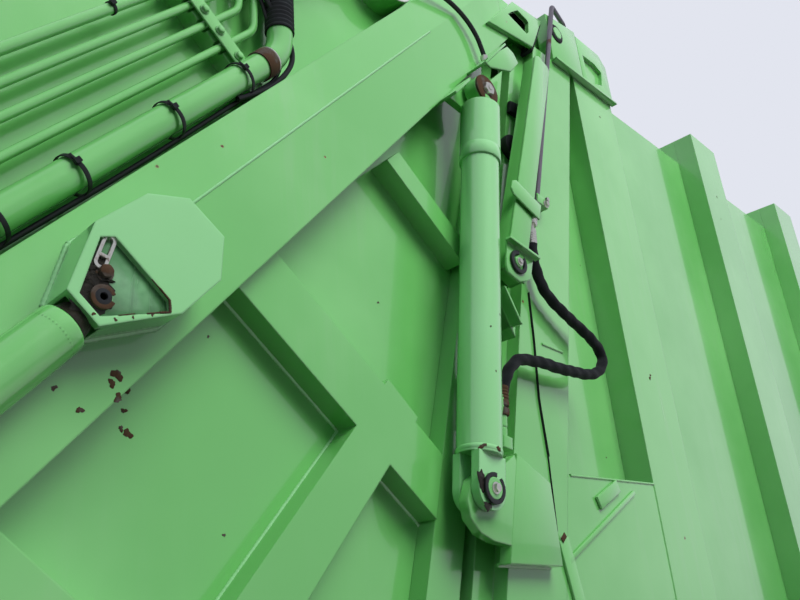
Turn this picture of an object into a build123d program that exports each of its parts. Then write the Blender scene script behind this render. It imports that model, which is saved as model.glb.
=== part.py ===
from build123d import *
import os
from math import atan2, cos, hypot, pi, radians, sin, tan

os.makedirs("parts", exist_ok=True)

# Rear-loading refuse compactor body with its tailgate, in millimetres
# X points to the truck's front, Y to its left and Z up
# The origin lies on the underside of the middle cross-member of the subframe, on the centre plane
# Side pieces are drawn on the right, as distances out from the centre plane, and mirrored to the left

# Body shell
rib_face = 1190.0          # outer plane of the ribs, the rear posts and the guide beams
rib_depth = 88.0
sheet = 6.0                # wall, roof and floor sheet
fold_sheet = 5.0           # folded ribs, posts and braces
front_x = 2350.0           # front face of the front wall
floor_z = 126.0            # top of the floor sheet
roof_z = 2432.0            # top of the roof sheet
rib_width = 267.0
rib_pitch = 1100.0
rib_count = 4
first_rib_x = -1250.0      # rear edge of the rearmost rib
rib_top_z = 2555.0
skirt_z = 60.0             # lower end of ribs and posts

# Rear frame, leaning forward with the seal face of the tailgate
seal_foot_x = -2289.0      # where the tailgate's front plane meets Z = 0
seal_lean = 16.5           # degrees from the vertical
seal_gap = 28.0            # along X, from the tailgate's front plane to the rear posts
post_width = 302.0         # along X
post_step = 70.0           # rear strip of the posts that lies lower than their outer face
post_step_out = 1150.0
post_top_z = 2330.0
header_width = 180.0
header_drop = 110.0
sill_top_z = 330.0
panel_top_z = 840.0        # closing panel between post and first rib

# Subframe
member_height = 120.0
channel_face = 430.0       # outer face of the long channels
channel_flange = 60.0
frame_steel = 8.0
cross_width = 80.0
cross_xs = (-1750.0, -875.0, 0.0, 875.0, 1750.0)
fish_xs = (-1310.0, 440.0, 1310.0)
fish_length = 260.0
fish_drop = 150.0
fish_rise = 90.0
fish_bolt_r = 8.5
fish_bolt_x = 160.0
fish_bolt_z = 60.0
fish_bolt_drop = 80.0      # middle of the bolt pattern below the subframe

# Tailgate hinge and the corner boxes around it
hinge_x, hinge_z = -1337.0, 2470.0
hinge_pin_r = 25.0
hinge_fit = 0.4            # radial clearance in the tailgate's hinge eye
hinge_box_out = 1200.0
hinge_box_depth = 54.0
hinge_box_x = (-1390.0, -1183.0)
hinge_box_top = 2575.0
corner_box_end = -970.0
ledge_out = 1222.0
corner_box_top = 2562.0
corner_chamfer = 45.0
inner_cheek = (1070.0, 1090.0)
arm_span = (1104.0, 1136.0)
arm_eye_r = 55.0
arm_foot = (-1680.0, -1500.0)
arm_low_z, arm_high_z = 2345.0, 2440.0
cut_out_r = 55.0           # round end of the D-shaped cut-outs

# Tailgate outline
gate_side = 1090.0         # outer face of the side plates
gate_roof_z = 2440.0
gate_roof_x = -2200.0      # where the roof turns into the slope
opening_top = (-3700.0, 1230.0)
loading_edge = (-3960.0, 60.0)
sill_depth = 90.0
sill_height = 150.0

# Packing mechanism, along and across the slide direction
slide_angle = 48.0         # degrees above the horizontal
low_hinge = (-3240.0, 360.0)   # sweep hinge with the carriage down
carriage_travel = 420.0
sweep_radius = 770.0
trough_gap = 15.0
guide_low, guide_fold, guide_high = 2753.0, 2918.0, 3017.0   # distances across the slide direction
guide_bevel = 22.0
guide_sheet = 8.0
guide_end = -2480.0        # lower end of the guide beams, along the slide
guide_run = 3300.0
slot_half = 40.0
slot_margin = 60.0
carriage_low, carriage_high = 2715.0, 2860.0
carriage_length = 800.0
carriage_out = 1036.0
carriage_skin = 10.0
arm_thick = 30.0
panel_out = 1026.0
panel_hub_r = 50.0
panel_knee = 300.0         # from the hinge to the fold of the sweep panel
sweep_pin_r = 30.0

# External slide cylinders
slide_out = 1236.0         # axis, out from the centre plane
slide_n = 2885.0           # axis, across the slide direction
anchor_t = -1246.0         # anchor pin, along the slide
anchor_out = 1272.0
anchor_plate = (1257.0, 1262.0)        # plate behind the window, which holds the pin
anchor_pin_r = 14.0
anchor_pin_head = 6.0
anchor_eye_r = 26.0
anchor_eye_half = 14.0
anchor_eye_gap = 12.0      # beyond the rod, round its eye
anchor_steel = 6.0
slide_barrel_r = 40.0
slide_bore_r = 31.0
slide_rod_r = 20.0
slide_head_gap = 82.0      # from the anchor pin to the barrel's open end
slide_barrel_length = 500.0
slide_foot = 15.0          # end walls of the barrel
slide_piston = 30.0
piston_room = 10.0
lug_half = 34.0
lug_out = 1270.0

# Lift cylinders
lift_out = 1212.0          # axis, out from the centre plane
lift_low = (-2106.0, 779.0)
lift_high = (-1895.0, 1919.0)
lift_barrel_r = 52.0
lift_bore_r = 42.0
lift_collar_r = 57.0
lift_collar_length = 160.0
lift_rod_r = 30.0
lift_pin_r = 25.0
lift_lug = 28.0
lift_cheek = 22.0
cheek_gap = 1.5
lift_foot_r = 45.0
lift_eye_r = 48.0
lift_eye_width = 40.0
lift_barrel_start = 76.0   # from the lower pin to the closed end
lift_barrel_end = 1093.0   # from the lower pin to the open end
ferrule_length = 62.0      # hose ferrule at the port of the barrel

# Hoods over the upper pins of the lift cylinders
hood_cheek = (1158.0, 1181.0)
hood_out = 1254.0
hood_rise = 8.0            # top plate above the lower edge of the guide beam

# Work lamps, along and across the slide direction
lamp_place = (190.0, 3104.0)
lamp_r = 84.0
lamp_out = 1165.0
lamp_recess = 25.0

# Safety prop on the rear post
prop_pin = (-1898.0, 1361.0)
prop_pin_r = 16.0
prop_span = (1198.0, 1246.0)
prop_back, prop_front = -27.0, 69.0    # edges, square to the prop from its pin
prop_length = 890.0
prop_foot = 45.0           # below the pin
prop_tip = 80.0            # length of the pointed end
prop_nose = 18.0           # flat at the very end
prop_lean = 17.0           # degrees from the vertical
prop_steel = 8.0
prop_side_gap = 2.0
prop_bracket_steel = 8.0
prop_clip = (198.0, 256.0)             # bar that holds the prop in, measured along it from its pin
prop_clip_out = 1251.0
prop_clip_steel = 6.0

# Braces on the tailgate's side plates, as distances square to their direction
brace_out = 1150.0
brace_angle = -39.7
cross_braces = ((-833.0, -702.0), (-1536.0, -1405.0), (-212.0, -152.0))
cross_brace_reach = (-4200.0, -1200.0)  # along their direction, cut off at the guide beam and the front post
long_brace = (2272.0, 2385.0)
long_brace_reach = (-3200.0, -780.0)
gate_post_out = 1140.0
gate_post_width = 106.0
gate_post_z = (420.0, 2180.0)

# Pipes
gate_pipe_rows = ((3068.0, 30.0), (3144.0, 13.0), (3198.0, 13.0), (3246.0, 13.0), (3294.0, 13.0))
gate_pipe_span = (-2050.0, -430.0)     # along the slide, in columns of distance across and radius above
pipe_stand_off = 30.0
pipe_bend = 1.6            # bend radius by pipe radius
valve_block = (-2755.0, -2500.0, 1960.0)   # ends along X and underside
valve_height = 90.0
valve_out = 1172.0
clamp_length = 46.0
clamp_wall = 8.0
clamp_out = 1134.0
seat_gap = 0.3             # between pieces that rest on each other without touching
post_pipe_r = 9.0
post_pipe_out = 1212.0
post_pipe_points = ((-1664.0, 1650.0), (-1361.0, 2604.0))
post_pipe_end_x = -1212.0
post_pipe_bend = 14.0
hose_r = 13.0
hose_route = (
    (-1752.0, -1216.0, 1480.0),
    (-1768.0, -1220.0, 1365.0),
    (-1690.0, -1226.0, 1292.0),
    (-1570.0, -1234.0, 1240.0),
    (-1500.0, -1241.0, 1180.0),
    (-1560.0, -1242.0, 1112.0),
    (-1700.0, -1237.0, 1104.0),
    (-1860.0, -1229.0, 1114.0),
    (-1945.0, -1223.0, 1098.0),
    (-1990.0, -1221.0, 1012.0),
)

# Ejector wall
ejector_x = 1900.0         # rear face at rest
ejector_gap = 12.0
ejector_depth = 60.0
ejector_shoe_y = 700.0
ejector_shoe_length = 300.0

slide_cos, slide_sin = cos(radians(slide_angle)), sin(radians(slide_angle))
wall_out = rib_face - rib_depth
wall_in = wall_out - sheet
gate_in = gate_side - sheet
rest_hinge = (low_hinge[0] + carriage_travel * slide_cos, low_hinge[1] + carriage_travel * slide_sin)

pieces = {}


# Point in the side view from distances along and across the slide direction, and back
def on_slide(t, n):
    return (t * slide_cos - n * slide_sin, t * slide_sin + n * slide_cos)


def slide_place(point):
    return (point[0] * slide_cos + point[1] * slide_sin, point[1] * slide_cos - point[0] * slide_sin)


# X of the tailgate's front plane, and of the rear posts' edges, at a height
def seal_x(z):
    return seal_foot_x + z * tan(radians(seal_lean))


def post_rear(z):
    return seal_x(z) + seal_gap


def post_front(z):
    return post_rear(z) + post_width


# Plate with an outline of (x, z) corners, between two distances out from the centre plane
def slab(corners, inner, outer):
    face = make_face(Polyline(*corners, close=True))
    return extrude(Plane.XZ.offset(inner) * face, amount=outer - inner)


def block(x0, x1, z0, z1, inner, outer):
    return slab([(x0, z0), (x1, z0), (x1, z1), (x0, z1)], inner, outer)


# Plate with corners given along and across the slide direction
def slide_slab(corners, inner, outer):
    return slab([on_slide(t, n) for t, n in corners], inner, outer)


def slide_block(t0, t1, n0, n1, inner, outer):
    return slide_slab([(t0, n0), (t1, n0), (t1, n1), (t0, n1)], inner, outer)


# Round bar across the part
def cross_bar(point, radius, inner, outer):
    return extrude(Plane.XZ.offset(inner) * Pos(*point) * Circle(radius), amount=outer - inner)


# Local (along, across) coordinates in the side view, from a start point and a direction
def local_frame(start, end):
    length = hypot(end[0] - start[0], end[1] - start[1])
    dx, dz = (end[0] - start[0]) / length, (end[1] - start[1]) / length
    return lambda a, b: (start[0] + dx * a + dz * b, start[1] + dz * a - dx * b)


# Round bar in a plane parallel to the side, between two lengths from start toward end
def long_bar(start, end, out, radius, first, last):
    place = local_frame(start, end)
    (x0, z0), (x1, z1) = place(first, 0), place(last, 0)
    plane = Plane(origin=(x0, -out, z0), x_dir=(0, 1, 0), z_dir=(x1 - x0, 0, z1 - z0))
    return extrude(plane * Circle(radius), amount=last - first)


# Round bar between two 3-D points
def straight_bar(start, end, radius):
    return extrude(Plane(origin=start, z_dir=end - start) * Circle(radius), amount=(end - start).length)


# Round bar along a line of 3-D points with filleted corners
def bent_bar(points, radius, bend):
    path = FilletPolyline(*points, radius=bend)
    start = Plane(origin=path @ 0, z_dir=path % 0)
    return sweep(start * Circle(radius), path=path)


def other_side(solid):
    return mirror(solid, about=Plane.XZ)


def keep(name, *solids):
    flat = [piece for solid in solids for piece in solid.solids()]
    pieces[name] = flat[0] if len(flat) == 1 else Compound(children=flat)


# One node for the right side and one for the left
def keep_each_side(name, *solids):
    keep(name + "_right", *solids)
    keep(name + "_left", *[other_side(solid) for solid in solids])


# One node for both sides
def keep_pair(name, *solids):
    keep(name, *solids, *[other_side(solid) for solid in solids])


# Long channels, and box cross-members welded between and outside them
def subframe():
    rear = cross_xs[0] - cross_width
    front = front_x - sheet
    inner = channel_face - channel_flange
    channel = block(rear, front, 0, member_height, inner, channel_face)
    channel -= block(rear - 1, front + 1, frame_steel, member_height - frame_steel,
                     inner - 1, channel_face - frame_steel)
    keep_pair("subframe_channels", channel)

    members = []
    for x in cross_xs:
        for low, high in ((-inner, inner), (channel_face, wall_in)):
            box = block(x - cross_width / 2, x + cross_width / 2, 0, member_height, low, high)
            box -= block(x - cross_width / 2 + frame_steel, x + cross_width / 2 - frame_steel,
                         frame_steel, member_height - frame_steel, low - 1, high + 1)
            members.append(box)
            if low > 0:
                members.append(other_side(box))
    keep("cross_members", *members)


# Plates that bolt the subframe to the chassis rails
def fish_plates():
    outer = channel_face + frame_steel
    plates = []
    for x in fish_xs:
        plate = block(x - fish_length / 2, x + fish_length / 2, -fish_drop, fish_rise, channel_face, outer)
        for dx in (-fish_bolt_x / 2, fish_bolt_x / 2):
            for dz in (-fish_bolt_z / 2, fish_bolt_z / 2):
                plate -= cross_bar((x + dx, -fish_bolt_drop + dz), fish_bolt_r, channel_face - 1, outer + 1)
        plates.append(plate)
    keep_pair("fish_plates", *plates)


# Floor, walls, roof and front wall
def shell():
    floor_low = floor_z - sheet
    keep("body_floor", block(post_front(floor_z), front_x - sheet, floor_low, floor_z, -wall_in, wall_in))
    wall = slab([(post_front(floor_low), floor_low), (front_x, floor_low), (front_x, roof_z),
                 (post_front(roof_z), roof_z)], wall_in, wall_out)
    keep_each_side("body_wall", wall)
    keep("body_roof", block(post_front(roof_z), front_x, roof_z - sheet, roof_z, -wall_in, wall_in))
    keep("front_wall", block(front_x - sheet, front_x, floor_z, roof_z - sheet, -wall_in, wall_in))


# Folded ribs, open toward the wall, that run on over the roof
def ribs():
    uprights, hoops = [], []
    for index in range(rib_count):
        x = first_rib_x + index * rib_pitch
        top = post_top_z if index == 0 else rib_top_z
        upright = block(x, x + rib_width, skirt_z, top, wall_out, rib_face)
        upright -= block(x + fold_sheet, x + rib_width - fold_sheet, skirt_z - 1, top - fold_sheet,
                         wall_out - 1, rib_face - fold_sheet)
        uprights.append(upright)
        hoop = block(x, x + rib_width, roof_z, rib_top_z, -wall_out, wall_out)
        hoop -= block(x + fold_sheet, x + rib_width - fold_sheet, roof_z - 1, rib_top_z - fold_sheet,
                      -wall_out - 1, wall_out + 1)
        hoops.append(hoop)
    keep_each_side("side_ribs", *uprights)
    keep("roof_ribs", *hoops)


# Leaning box posts, stepped down along their rear edge
def rear_posts():
    def leaning(margin, step, inner, outer, z0, z1):
        return slab([(post_rear(z0) + step + margin, z0), (post_front(z0) - margin, z0),
                     (post_front(z1) - margin, z1), (post_rear(z1) + step + margin, z1)], inner, outer)

    low, high = skirt_z, post_top_z
    post = leaning(0, 0, wall_in, post_step_out, low, high)
    post += leaning(0, post_step, wall_in, rib_face, low, high)
    low, high = skirt_z - 1, post_top_z - fold_sheet
    post -= leaning(fold_sheet, 0, wall_in + fold_sheet, post_step_out - fold_sheet, low, high)
    post -= leaning(fold_sheet, post_step, wall_in + fold_sheet, rib_face - fold_sheet, low, high)
    keep_each_side("rear_post", post)


# Header and sill that the tailgate closes on
def rear_frame():
    base = roof_z - header_drop
    front = post_rear(base) + header_width
    header = slab([(post_rear(base), base), (front, base), (post_front(roof_z), roof_z - sheet),
                   (post_front(roof_z), roof_z), (post_rear(roof_z), roof_z)], -wall_in, wall_in)
    rise = 3 * fold_sheet
    header -= slab([(post_rear(base) + rise, base + fold_sheet), (front - fold_sheet, base + fold_sheet),
                    (post_front(roof_z) - rise * 3, roof_z - fold_sheet),
                    (post_rear(roof_z) + fold_sheet, roof_z - fold_sheet)], -wall_in - 1, wall_in + 1)
    keep("rear_header", header)

    low, frame_end = floor_z - sheet, cross_xs[0] - cross_width - 1
    sill = slab([(post_rear(skirt_z), skirt_z), (frame_end, skirt_z), (frame_end, low),
                 (post_front(floor_z), low), (post_front(floor_z), floor_z),
                 (post_rear(sill_top_z) + sheet, sill_top_z), (post_rear(sill_top_z), sill_top_z)],
                -wall_in, wall_in)
    wall = fold_sheet
    ramp_x = post_rear(floor_z) + 4 * wall
    sill -= slab([(post_rear(skirt_z + wall) + wall, skirt_z + wall), (frame_end - wall, skirt_z + wall),
                  (frame_end - wall, low), (ramp_x + wall, low + wall), (ramp_x, low + 4 * wall)],
                 -wall_in - 1, wall_in + 1)
    keep("rear_sill", sill)


# D-shaped cut-out, round toward the front
def cut_out(x, z, inner, outer):
    hole = cross_bar((x, z), cut_out_r, inner, outer)
    return hole & block(x - cut_out_r * 0.55, x + cut_out_r, z - cut_out_r, z + cut_out_r, inner, outer)


# Bearing boxes with the fixed hinge pins, inner cheeks on the roof, and corner boxes over the first rib
def hinge_corners():
    inner = hinge_box_out - hinge_box_depth
    box = block(*hinge_box_x, post_top_z, hinge_box_top, inner, hinge_box_out)
    box -= block(hinge_box_x[0] + frame_steel, hinge_box_x[1] - frame_steel, post_top_z - 1,
                 hinge_box_top - frame_steel, inner + frame_steel, hinge_box_out - frame_steel)
    cheek = slab([(hinge_x - 60, roof_z), (hinge_x + 80, roof_z), (hinge_x + 40, hinge_z + 45),
                  (hinge_x - 40, hinge_z + 45)], *inner_cheek)
    pin = cross_bar((hinge_x, hinge_z), hinge_pin_r, inner_cheek[0], hinge_box_out + frame_steel)
    keep_pair("hinge_bearings", box + pin + cheek)

    corner = slab([(hinge_box_x[1], post_top_z), (corner_box_end, post_top_z),
                   (corner_box_end, corner_box_top - corner_chamfer),
                   (corner_box_end - corner_chamfer, corner_box_top), (hinge_box_x[1], corner_box_top)],
                  wall_out, hinge_box_out)
    rear, front, top = hinge_box_x[1] + fold_sheet, corner_box_end - fold_sheet, corner_box_top - fold_sheet
    bevel = corner_chamfer - fold_sheet / 2
    corner -= slab([(rear, post_top_z - 1), (front, post_top_z - 1), (front, top - bevel),
                    (front - bevel, top), (rear, top)], wall_out - 1, hinge_box_out - fold_sheet)
    centre = ((hinge_box_x[1] + corner_box_end) / 2, (post_top_z + corner_box_top) / 2)
    corner -= cut_out(*centre, hinge_box_out - 2 * fold_sheet, hinge_box_out + 1)
    keep_pair("corner_boxes", corner)

    ledges = [block(low, high, post_top_z - frame_steel, post_top_z, rib_face, ledge_out)
              for low, high in (hinge_box_x, (hinge_box_x[1], corner_box_end))]
    keep_pair("hinge_ledges", ledges[0] + ledges[1])


# Doubler, lug and pin that carry the foot of a lift cylinder
def lift_brackets():
    x, z = lift_low
    inner = lift_out - lift_lug / 2
    doubler = slab([(x + 80, z - 160), (x + 250, z - 160), (x + 274, z + 29), (x + 145, z + 95),
                    (x + 100, z + 60)], rib_face, inner)
    lug = slab([(x + 40, z - 130), (x + 90, z - 160), (x + 250, z - 160), (x + 274, z + 29),
                (x + 145, z + 95), (x + 80, z + 45), (x, z + 42), (x - 36, z + 22), (x - 42, z - 10),
                (x - 25, z - 45)], inner, inner + lift_lug)
    reach = lift_cheek + cheek_gap + frame_steel
    pin = cross_bar(lift_low, lift_pin_r, inner - reach, inner + lift_lug + reach)
    keep_pair("lift_brackets", doubler + lug + pin)


def closing_panels():
    panel = slab([(post_front(skirt_z), skirt_z), (first_rib_x, skirt_z), (first_rib_x, panel_top_z),
                  (post_front(panel_top_z), panel_top_z)], rib_face - fold_sheet, rib_face)
    keep_pair("closing_panels", panel)


# Cylinders that raise the tailgate
def lift_cylinders():
    place = local_frame(lift_low, lift_high)
    reach = hypot(lift_high[0] - lift_low[0], lift_high[1] - lift_low[1])

    def bar(radius, first, last):
        return long_bar(lift_low, lift_high, lift_out, radius, first, last)

    barrel = bar(lift_barrel_r, lift_barrel_start, lift_barrel_end)
    barrel += bar(lift_collar_r, lift_barrel_end - lift_collar_length, lift_barrel_end)
    barrel -= bar(lift_bore_r, lift_barrel_start + lift_cheek, lift_barrel_end - lift_cheek)
    barrel -= bar(lift_rod_r + hinge_fit, lift_barrel_end - 2 * lift_cheek, lift_barrel_end + 1)
    inner = lift_out - lift_lug / 2 - cheek_gap - lift_cheek
    outer = lift_out + lift_lug / 2 + cheek_gap
    for low in (inner, outer):
        cheek = slab([place(0, -lift_foot_r), place(lift_barrel_start, -lift_foot_r),
                      place(lift_barrel_start, lift_foot_r), place(0, lift_foot_r)], low, low + lift_cheek)
        cheek += cross_bar(lift_low, lift_foot_r, low, low + lift_cheek)
        cheek -= cross_bar(lift_low, lift_pin_r + hinge_fit, low - 1, low + lift_cheek + 1)
        barrel += cheek
    hose_end = Vector(*hose_route[-1])
    run = (hose_end - Vector(*hose_route[-2])).normalized()
    ferrule_end = hose_end + run * ferrule_length
    port = straight_bar(hose_end, ferrule_end, hose_r)
    wall_x = place(ferrule_end.Z - lift_low[1], (lift_bore_r + lift_barrel_r) / 2)[0]
    elbow = ferrule_end + Vector(hose_r, 0, hose_r)
    port += straight_bar(elbow, Vector(wall_x, elbow.Y, elbow.Z), hose_r)
    keep_each_side("lift_port", port - bar(lift_barrel_r, lift_barrel_start, lift_barrel_end))
    keep_each_side("lift_barrel", barrel)

    piston_foot = lift_barrel_start + lift_cheek + 20
    rod = bar(lift_rod_r, piston_foot, reach - lift_eye_r / 2)
    rod += bar(lift_bore_r - 1, piston_foot, piston_foot + lift_bore_r)
    rod += cross_bar(lift_high, lift_eye_r, lift_out - lift_eye_width / 2, lift_out + lift_eye_width / 2)
    rod += cross_bar(lift_high, lift_pin_r, hood_cheek[1] + seat_gap, lift_out)
    keep_each_side("lift_rod", rod)


# Safety prop, a folded channel on its pin, and the bracket on the rear post
def safety_props():
    lean = radians(prop_lean)
    place = local_frame(prop_pin, (prop_pin[0] + sin(lean), prop_pin[1] + cos(lean)))
    back, front = prop_back, prop_front
    middle = (back + front) / 2
    prop = slab([place(-prop_foot, back), place(-prop_foot, front), place(prop_length - prop_tip, front),
                 place(prop_length, middle + prop_nose), place(prop_length, middle),
                 place(prop_length - prop_tip, back)], *prop_span)
    prop -= slab([place(70, back + prop_steel), place(70, front - prop_steel),
                  place(prop_length + 1, front - prop_steel), place(prop_length + 1, back + prop_steel)],
                 prop_span[0] - 1, prop_span[1] - prop_steel)
    prop -= cross_bar(prop_pin, prop_pin_r + hinge_fit, prop_span[0] - 1, prop_span[1] + 1)
    keep_each_side("safety_prop", prop)

    steel = prop_bracket_steel
    web_back, web_front = front + prop_side_gap, front + prop_side_gap + steel
    outline = [place(-5, -34), place(70, -30), place(84, web_back), place(84, web_front), place(5, web_front),
               place(-60, 30), place(-35, -32)]
    inner, outer = prop_span[0] - prop_side_gap, prop_span[1] + prop_side_gap
    foot = place(-prop_foot - prop_side_gap, back)
    post_x = post_rear(foot[1]) + post_step
    seat = [place(84, web_front), place(84, -30), place(-5, -34), foot, (foot[0] + 60, foot[1] - 130),
            (post_x + 60, foot[1] - 130), (post_x + 130, foot[1])]
    bracket = slab(seat, rib_face, inner)
    bracket += slab(outline, outer, outer + steel)
    bracket += slab([place(5, web_back), place(84, web_back), place(84, web_front), place(5, web_front)],
                    rib_face, outer)
    bracket += slab([place(84 - steel, -30), place(84, -30), place(84, web_front),
                     place(84 - steel, web_front)], outer + steel, outer + 3 * steel)
    bracket += cross_bar(prop_pin, prop_pin_r, rib_face, outer + 2 * steel)
    keep_pair("prop_brackets", bracket)

    low, high = prop_clip
    clip = slab([place(low, back - 30), place(low, web_front), place(high, web_front),
                 place(high, back - 20)], prop_clip_out, prop_clip_out + prop_clip_steel)
    clip += slab([place(low + 5, web_back), place(low + 5, web_front), place(high - 5, web_front),
                  place(high - 5, web_back)], post_step_out, prop_clip_out)
    keep_pair("prop_clips", clip)


# Lines of the tailgate's side: trough arc about the low sweep hinge, and a ramp along the slide direction
def trough_lines(radius):
    start = atan2(loading_edge[1] - low_hinge[1], loading_edge[0] - low_hinge[0])
    end = radians(slide_angle - 90)

    def on_arc(angle):
        return (low_hinge[0] + radius * cos(angle), low_hinge[1] + radius * sin(angle))

    ramp_n = slide_place(low_hinge)[1] - radius
    lean = tan(radians(seal_lean))
    top_z = (ramp_n + seal_foot_x * slide_sin) / (slide_cos - lean * slide_sin)
    return on_arc(start), on_arc((start - end) / 2 + end), on_arc(end), (seal_x(top_z), top_z)


def gate_outline():
    edge, middle, foot, top = trough_lines(sweep_radius + trough_gap)
    corners = [foot, top, (seal_x(gate_roof_z), gate_roof_z), (gate_roof_x, gate_roof_z), opening_top, edge]
    return make_face(Polyline(*corners) + ThreePointArc(edge, middle, foot))


def gate_field(inner, outer):
    return extrude(Plane.XZ.offset(inner) * gate_outline(), amount=outer - inner)


# Slot in side plate and guide beam for the carriage lugs
def lug_slot():
    rest_t = anchor_t - slide_head_gap - slide_barrel_length - lug_half
    return slide_block(rest_t - carriage_travel - slot_margin, rest_t + slot_margin, slide_n - slot_half,
                       slide_n + slot_half, gate_in - 1, rib_face + 1)


# Side plates, roof and slope, hopper trough and loading sill
def tailgate_shell():
    keep_each_side("tailgate_side", gate_field(gate_in, gate_side) - lug_slot())

    roof = slab([(seal_x(gate_roof_z), gate_roof_z), (gate_roof_x, gate_roof_z), opening_top,
                 (opening_top[0] - 4, opening_top[1] + 5), (gate_roof_x - 2, gate_roof_z + sheet),
                 (seal_x(gate_roof_z), gate_roof_z + sheet)], -gate_side, gate_side)
    keep("tailgate_roof", roof)

    edge, middle, foot, top = trough_lines(sweep_radius + trough_gap)
    edge2, middle2, foot2, top2 = trough_lines(sweep_radius + trough_gap + sheet)
    skin = make_face(ThreePointArc(edge, middle, foot) + Polyline(foot, top, top2, foot2)
                     + ThreePointArc(foot2, middle2, edge2) + Polyline(edge2, edge))
    keep("hopper_trough", extrude(Plane.XZ.offset(-gate_side) * skin, amount=2 * gate_side))

    x, z = edge2
    sill = slab([(x, z), edge, (edge[0], z + sheet), (x - sill_depth, z),
                 (x - sill_depth * 0.6, z - sill_height), (x + 10, z - sill_height)], -gate_side, gate_side)
    sill -= extrude(Plane.XZ.offset(-gate_side) * make_face(
        ThreePointArc(edge2, middle2, foot2) + Polyline(foot2, edge2)), amount=2 * gate_side)
    keep("loading_sill", sill)


# Folded guide beams with a bevelled upper strip
def guide_beams():
    section = [(guide_low, gate_side), (guide_low, rib_face), (guide_fold, rib_face),
               (guide_high, rib_face - guide_bevel), (guide_high, gate_side)]
    low, high, skin = guide_low + guide_sheet, guide_high - guide_sheet, rib_face - guide_sheet
    hollow = [(low, gate_side - 1), (low, skin), (guide_fold, skin), (high, skin - guide_bevel),
              (high, gate_side - 1)]
    x, z = on_slide(guide_end, 0)
    plane = Plane(origin=(x, 0, z), x_dir=(-slide_sin, 0, slide_cos), z_dir=(slide_cos, 0, slide_sin))

    def beam_run(corners):
        solid = extrude(plane * make_face(Polyline(*[(n, -y) for n, y in corners], close=True)), guide_run)
        return solid if solid.center().Y < 0 else other_side(solid)

    beam = (beam_run(section) - beam_run(hollow) - lug_slot()) & gate_field(gate_side, rib_face)
    beam -= block(*arm_foot, arm_low_z, arm_high_z, gate_side, rib_face)
    keep_each_side("guide_beam", beam)


# Folded braces and the front posts on the tailgate's side plates
def side_braces():
    cosine, sine = cos(radians(brace_angle)), sin(radians(brace_angle))
    first, last = cross_brace_reach

    def members(shrink, inner, outer):
        solids = []
        for low, high in cross_braces:
            low, high = low + shrink, high - shrink
            ends = [(first, low), (last, low), (last, high), (first, high)]
            turned = [(a * cosine - m * sine, a * sine + m * cosine) for a, m in ends]
            solids.append(slab(turned, inner, outer))
        low, high = long_brace[0] + shrink, long_brace[1] - shrink
        solids.append(slide_block(*long_brace_reach, low, high, inner, outer))
        return solids

    field = slab([on_slide(-2100, guide_low), on_slide(-600, guide_low),
                  (seal_x(2000) - gate_post_width, 2000), (seal_x(500) - gate_post_width, 500),
                  (seal_x(300) - gate_post_width - 160, 300), (-3100, 60)], gate_side, brace_out)
    outer = members(0, gate_side, brace_out)
    inner = members(fold_sheet, gate_side - 1, brace_out - fold_sheet)
    frame = outer[0].fuse(*outer[1:]).cut(*inner)
    keep_pair("side_braces", frame & field)

    low, high = gate_post_z
    post = slab([(seal_x(low), low), (seal_x(high), high),
                 (seal_x(high) - gate_post_width, high - gate_post_width),
                 (seal_x(low) - gate_post_width, low)], gate_side, gate_post_out)
    keep_pair("gate_posts", post)


# Hinge arms with the corner boxes of the tailgate
def hinge_arms():
    back, front = arm_foot
    arm = slab([(back, arm_low_z), (front, arm_low_z), (hinge_x, hinge_z - arm_eye_r),
                (hinge_x, hinge_z + arm_eye_r), (front, arm_high_z), (back, arm_high_z)], *arm_span)
    arm += cross_bar((hinge_x, hinge_z), arm_eye_r, *arm_span)
    arm -= cross_bar((hinge_x, hinge_z), hinge_pin_r + hinge_fit, arm_span[0] - 1, arm_span[1] + 1)
    arm += block(back, front, arm_low_z, arm_high_z, arm_span[1], rib_face)
    arm += slab([(back, arm_low_z), (seal_x(arm_low_z), arm_low_z), (seal_x(arm_high_z), arm_high_z),
                 (back, arm_high_z)], gate_side, arm_span[0])
    keep_pair("hinge_arms", arm)


# Eight-sided boxes on the guide beams, with a window over the plate that holds the rod's pin
def anchor_brackets():
    outline = [(-38, -28), (-38, 38), (68, 92), (176, 84), (237, 41), (244, -42), (181, -92), (82, -91)]
    window = [(-27, -18), (-27, 24), (58, 70), (78, 58), (80, -64), (66, -78)]

    def on_anchor(corners):
        return [(anchor_t + t, slide_n + n) for t, n in corners]

    box = slide_slab(on_anchor(outline), rib_face, anchor_out)
    box -= slide_slab(on_anchor(window), anchor_plate[1], anchor_out + 1)
    eye_room = slide_rod_r + anchor_eye_gap
    box -= slide_block(anchor_t - 160, anchor_t + eye_room, slide_n - eye_room, slide_n + eye_room,
                       rib_face + anchor_steel, anchor_plate[0])
    pin = cross_bar(on_slide(anchor_t, slide_n), anchor_pin_r, rib_face, anchor_plate[1] + anchor_pin_head)
    keep_pair("anchor_brackets", box + pin)


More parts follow.
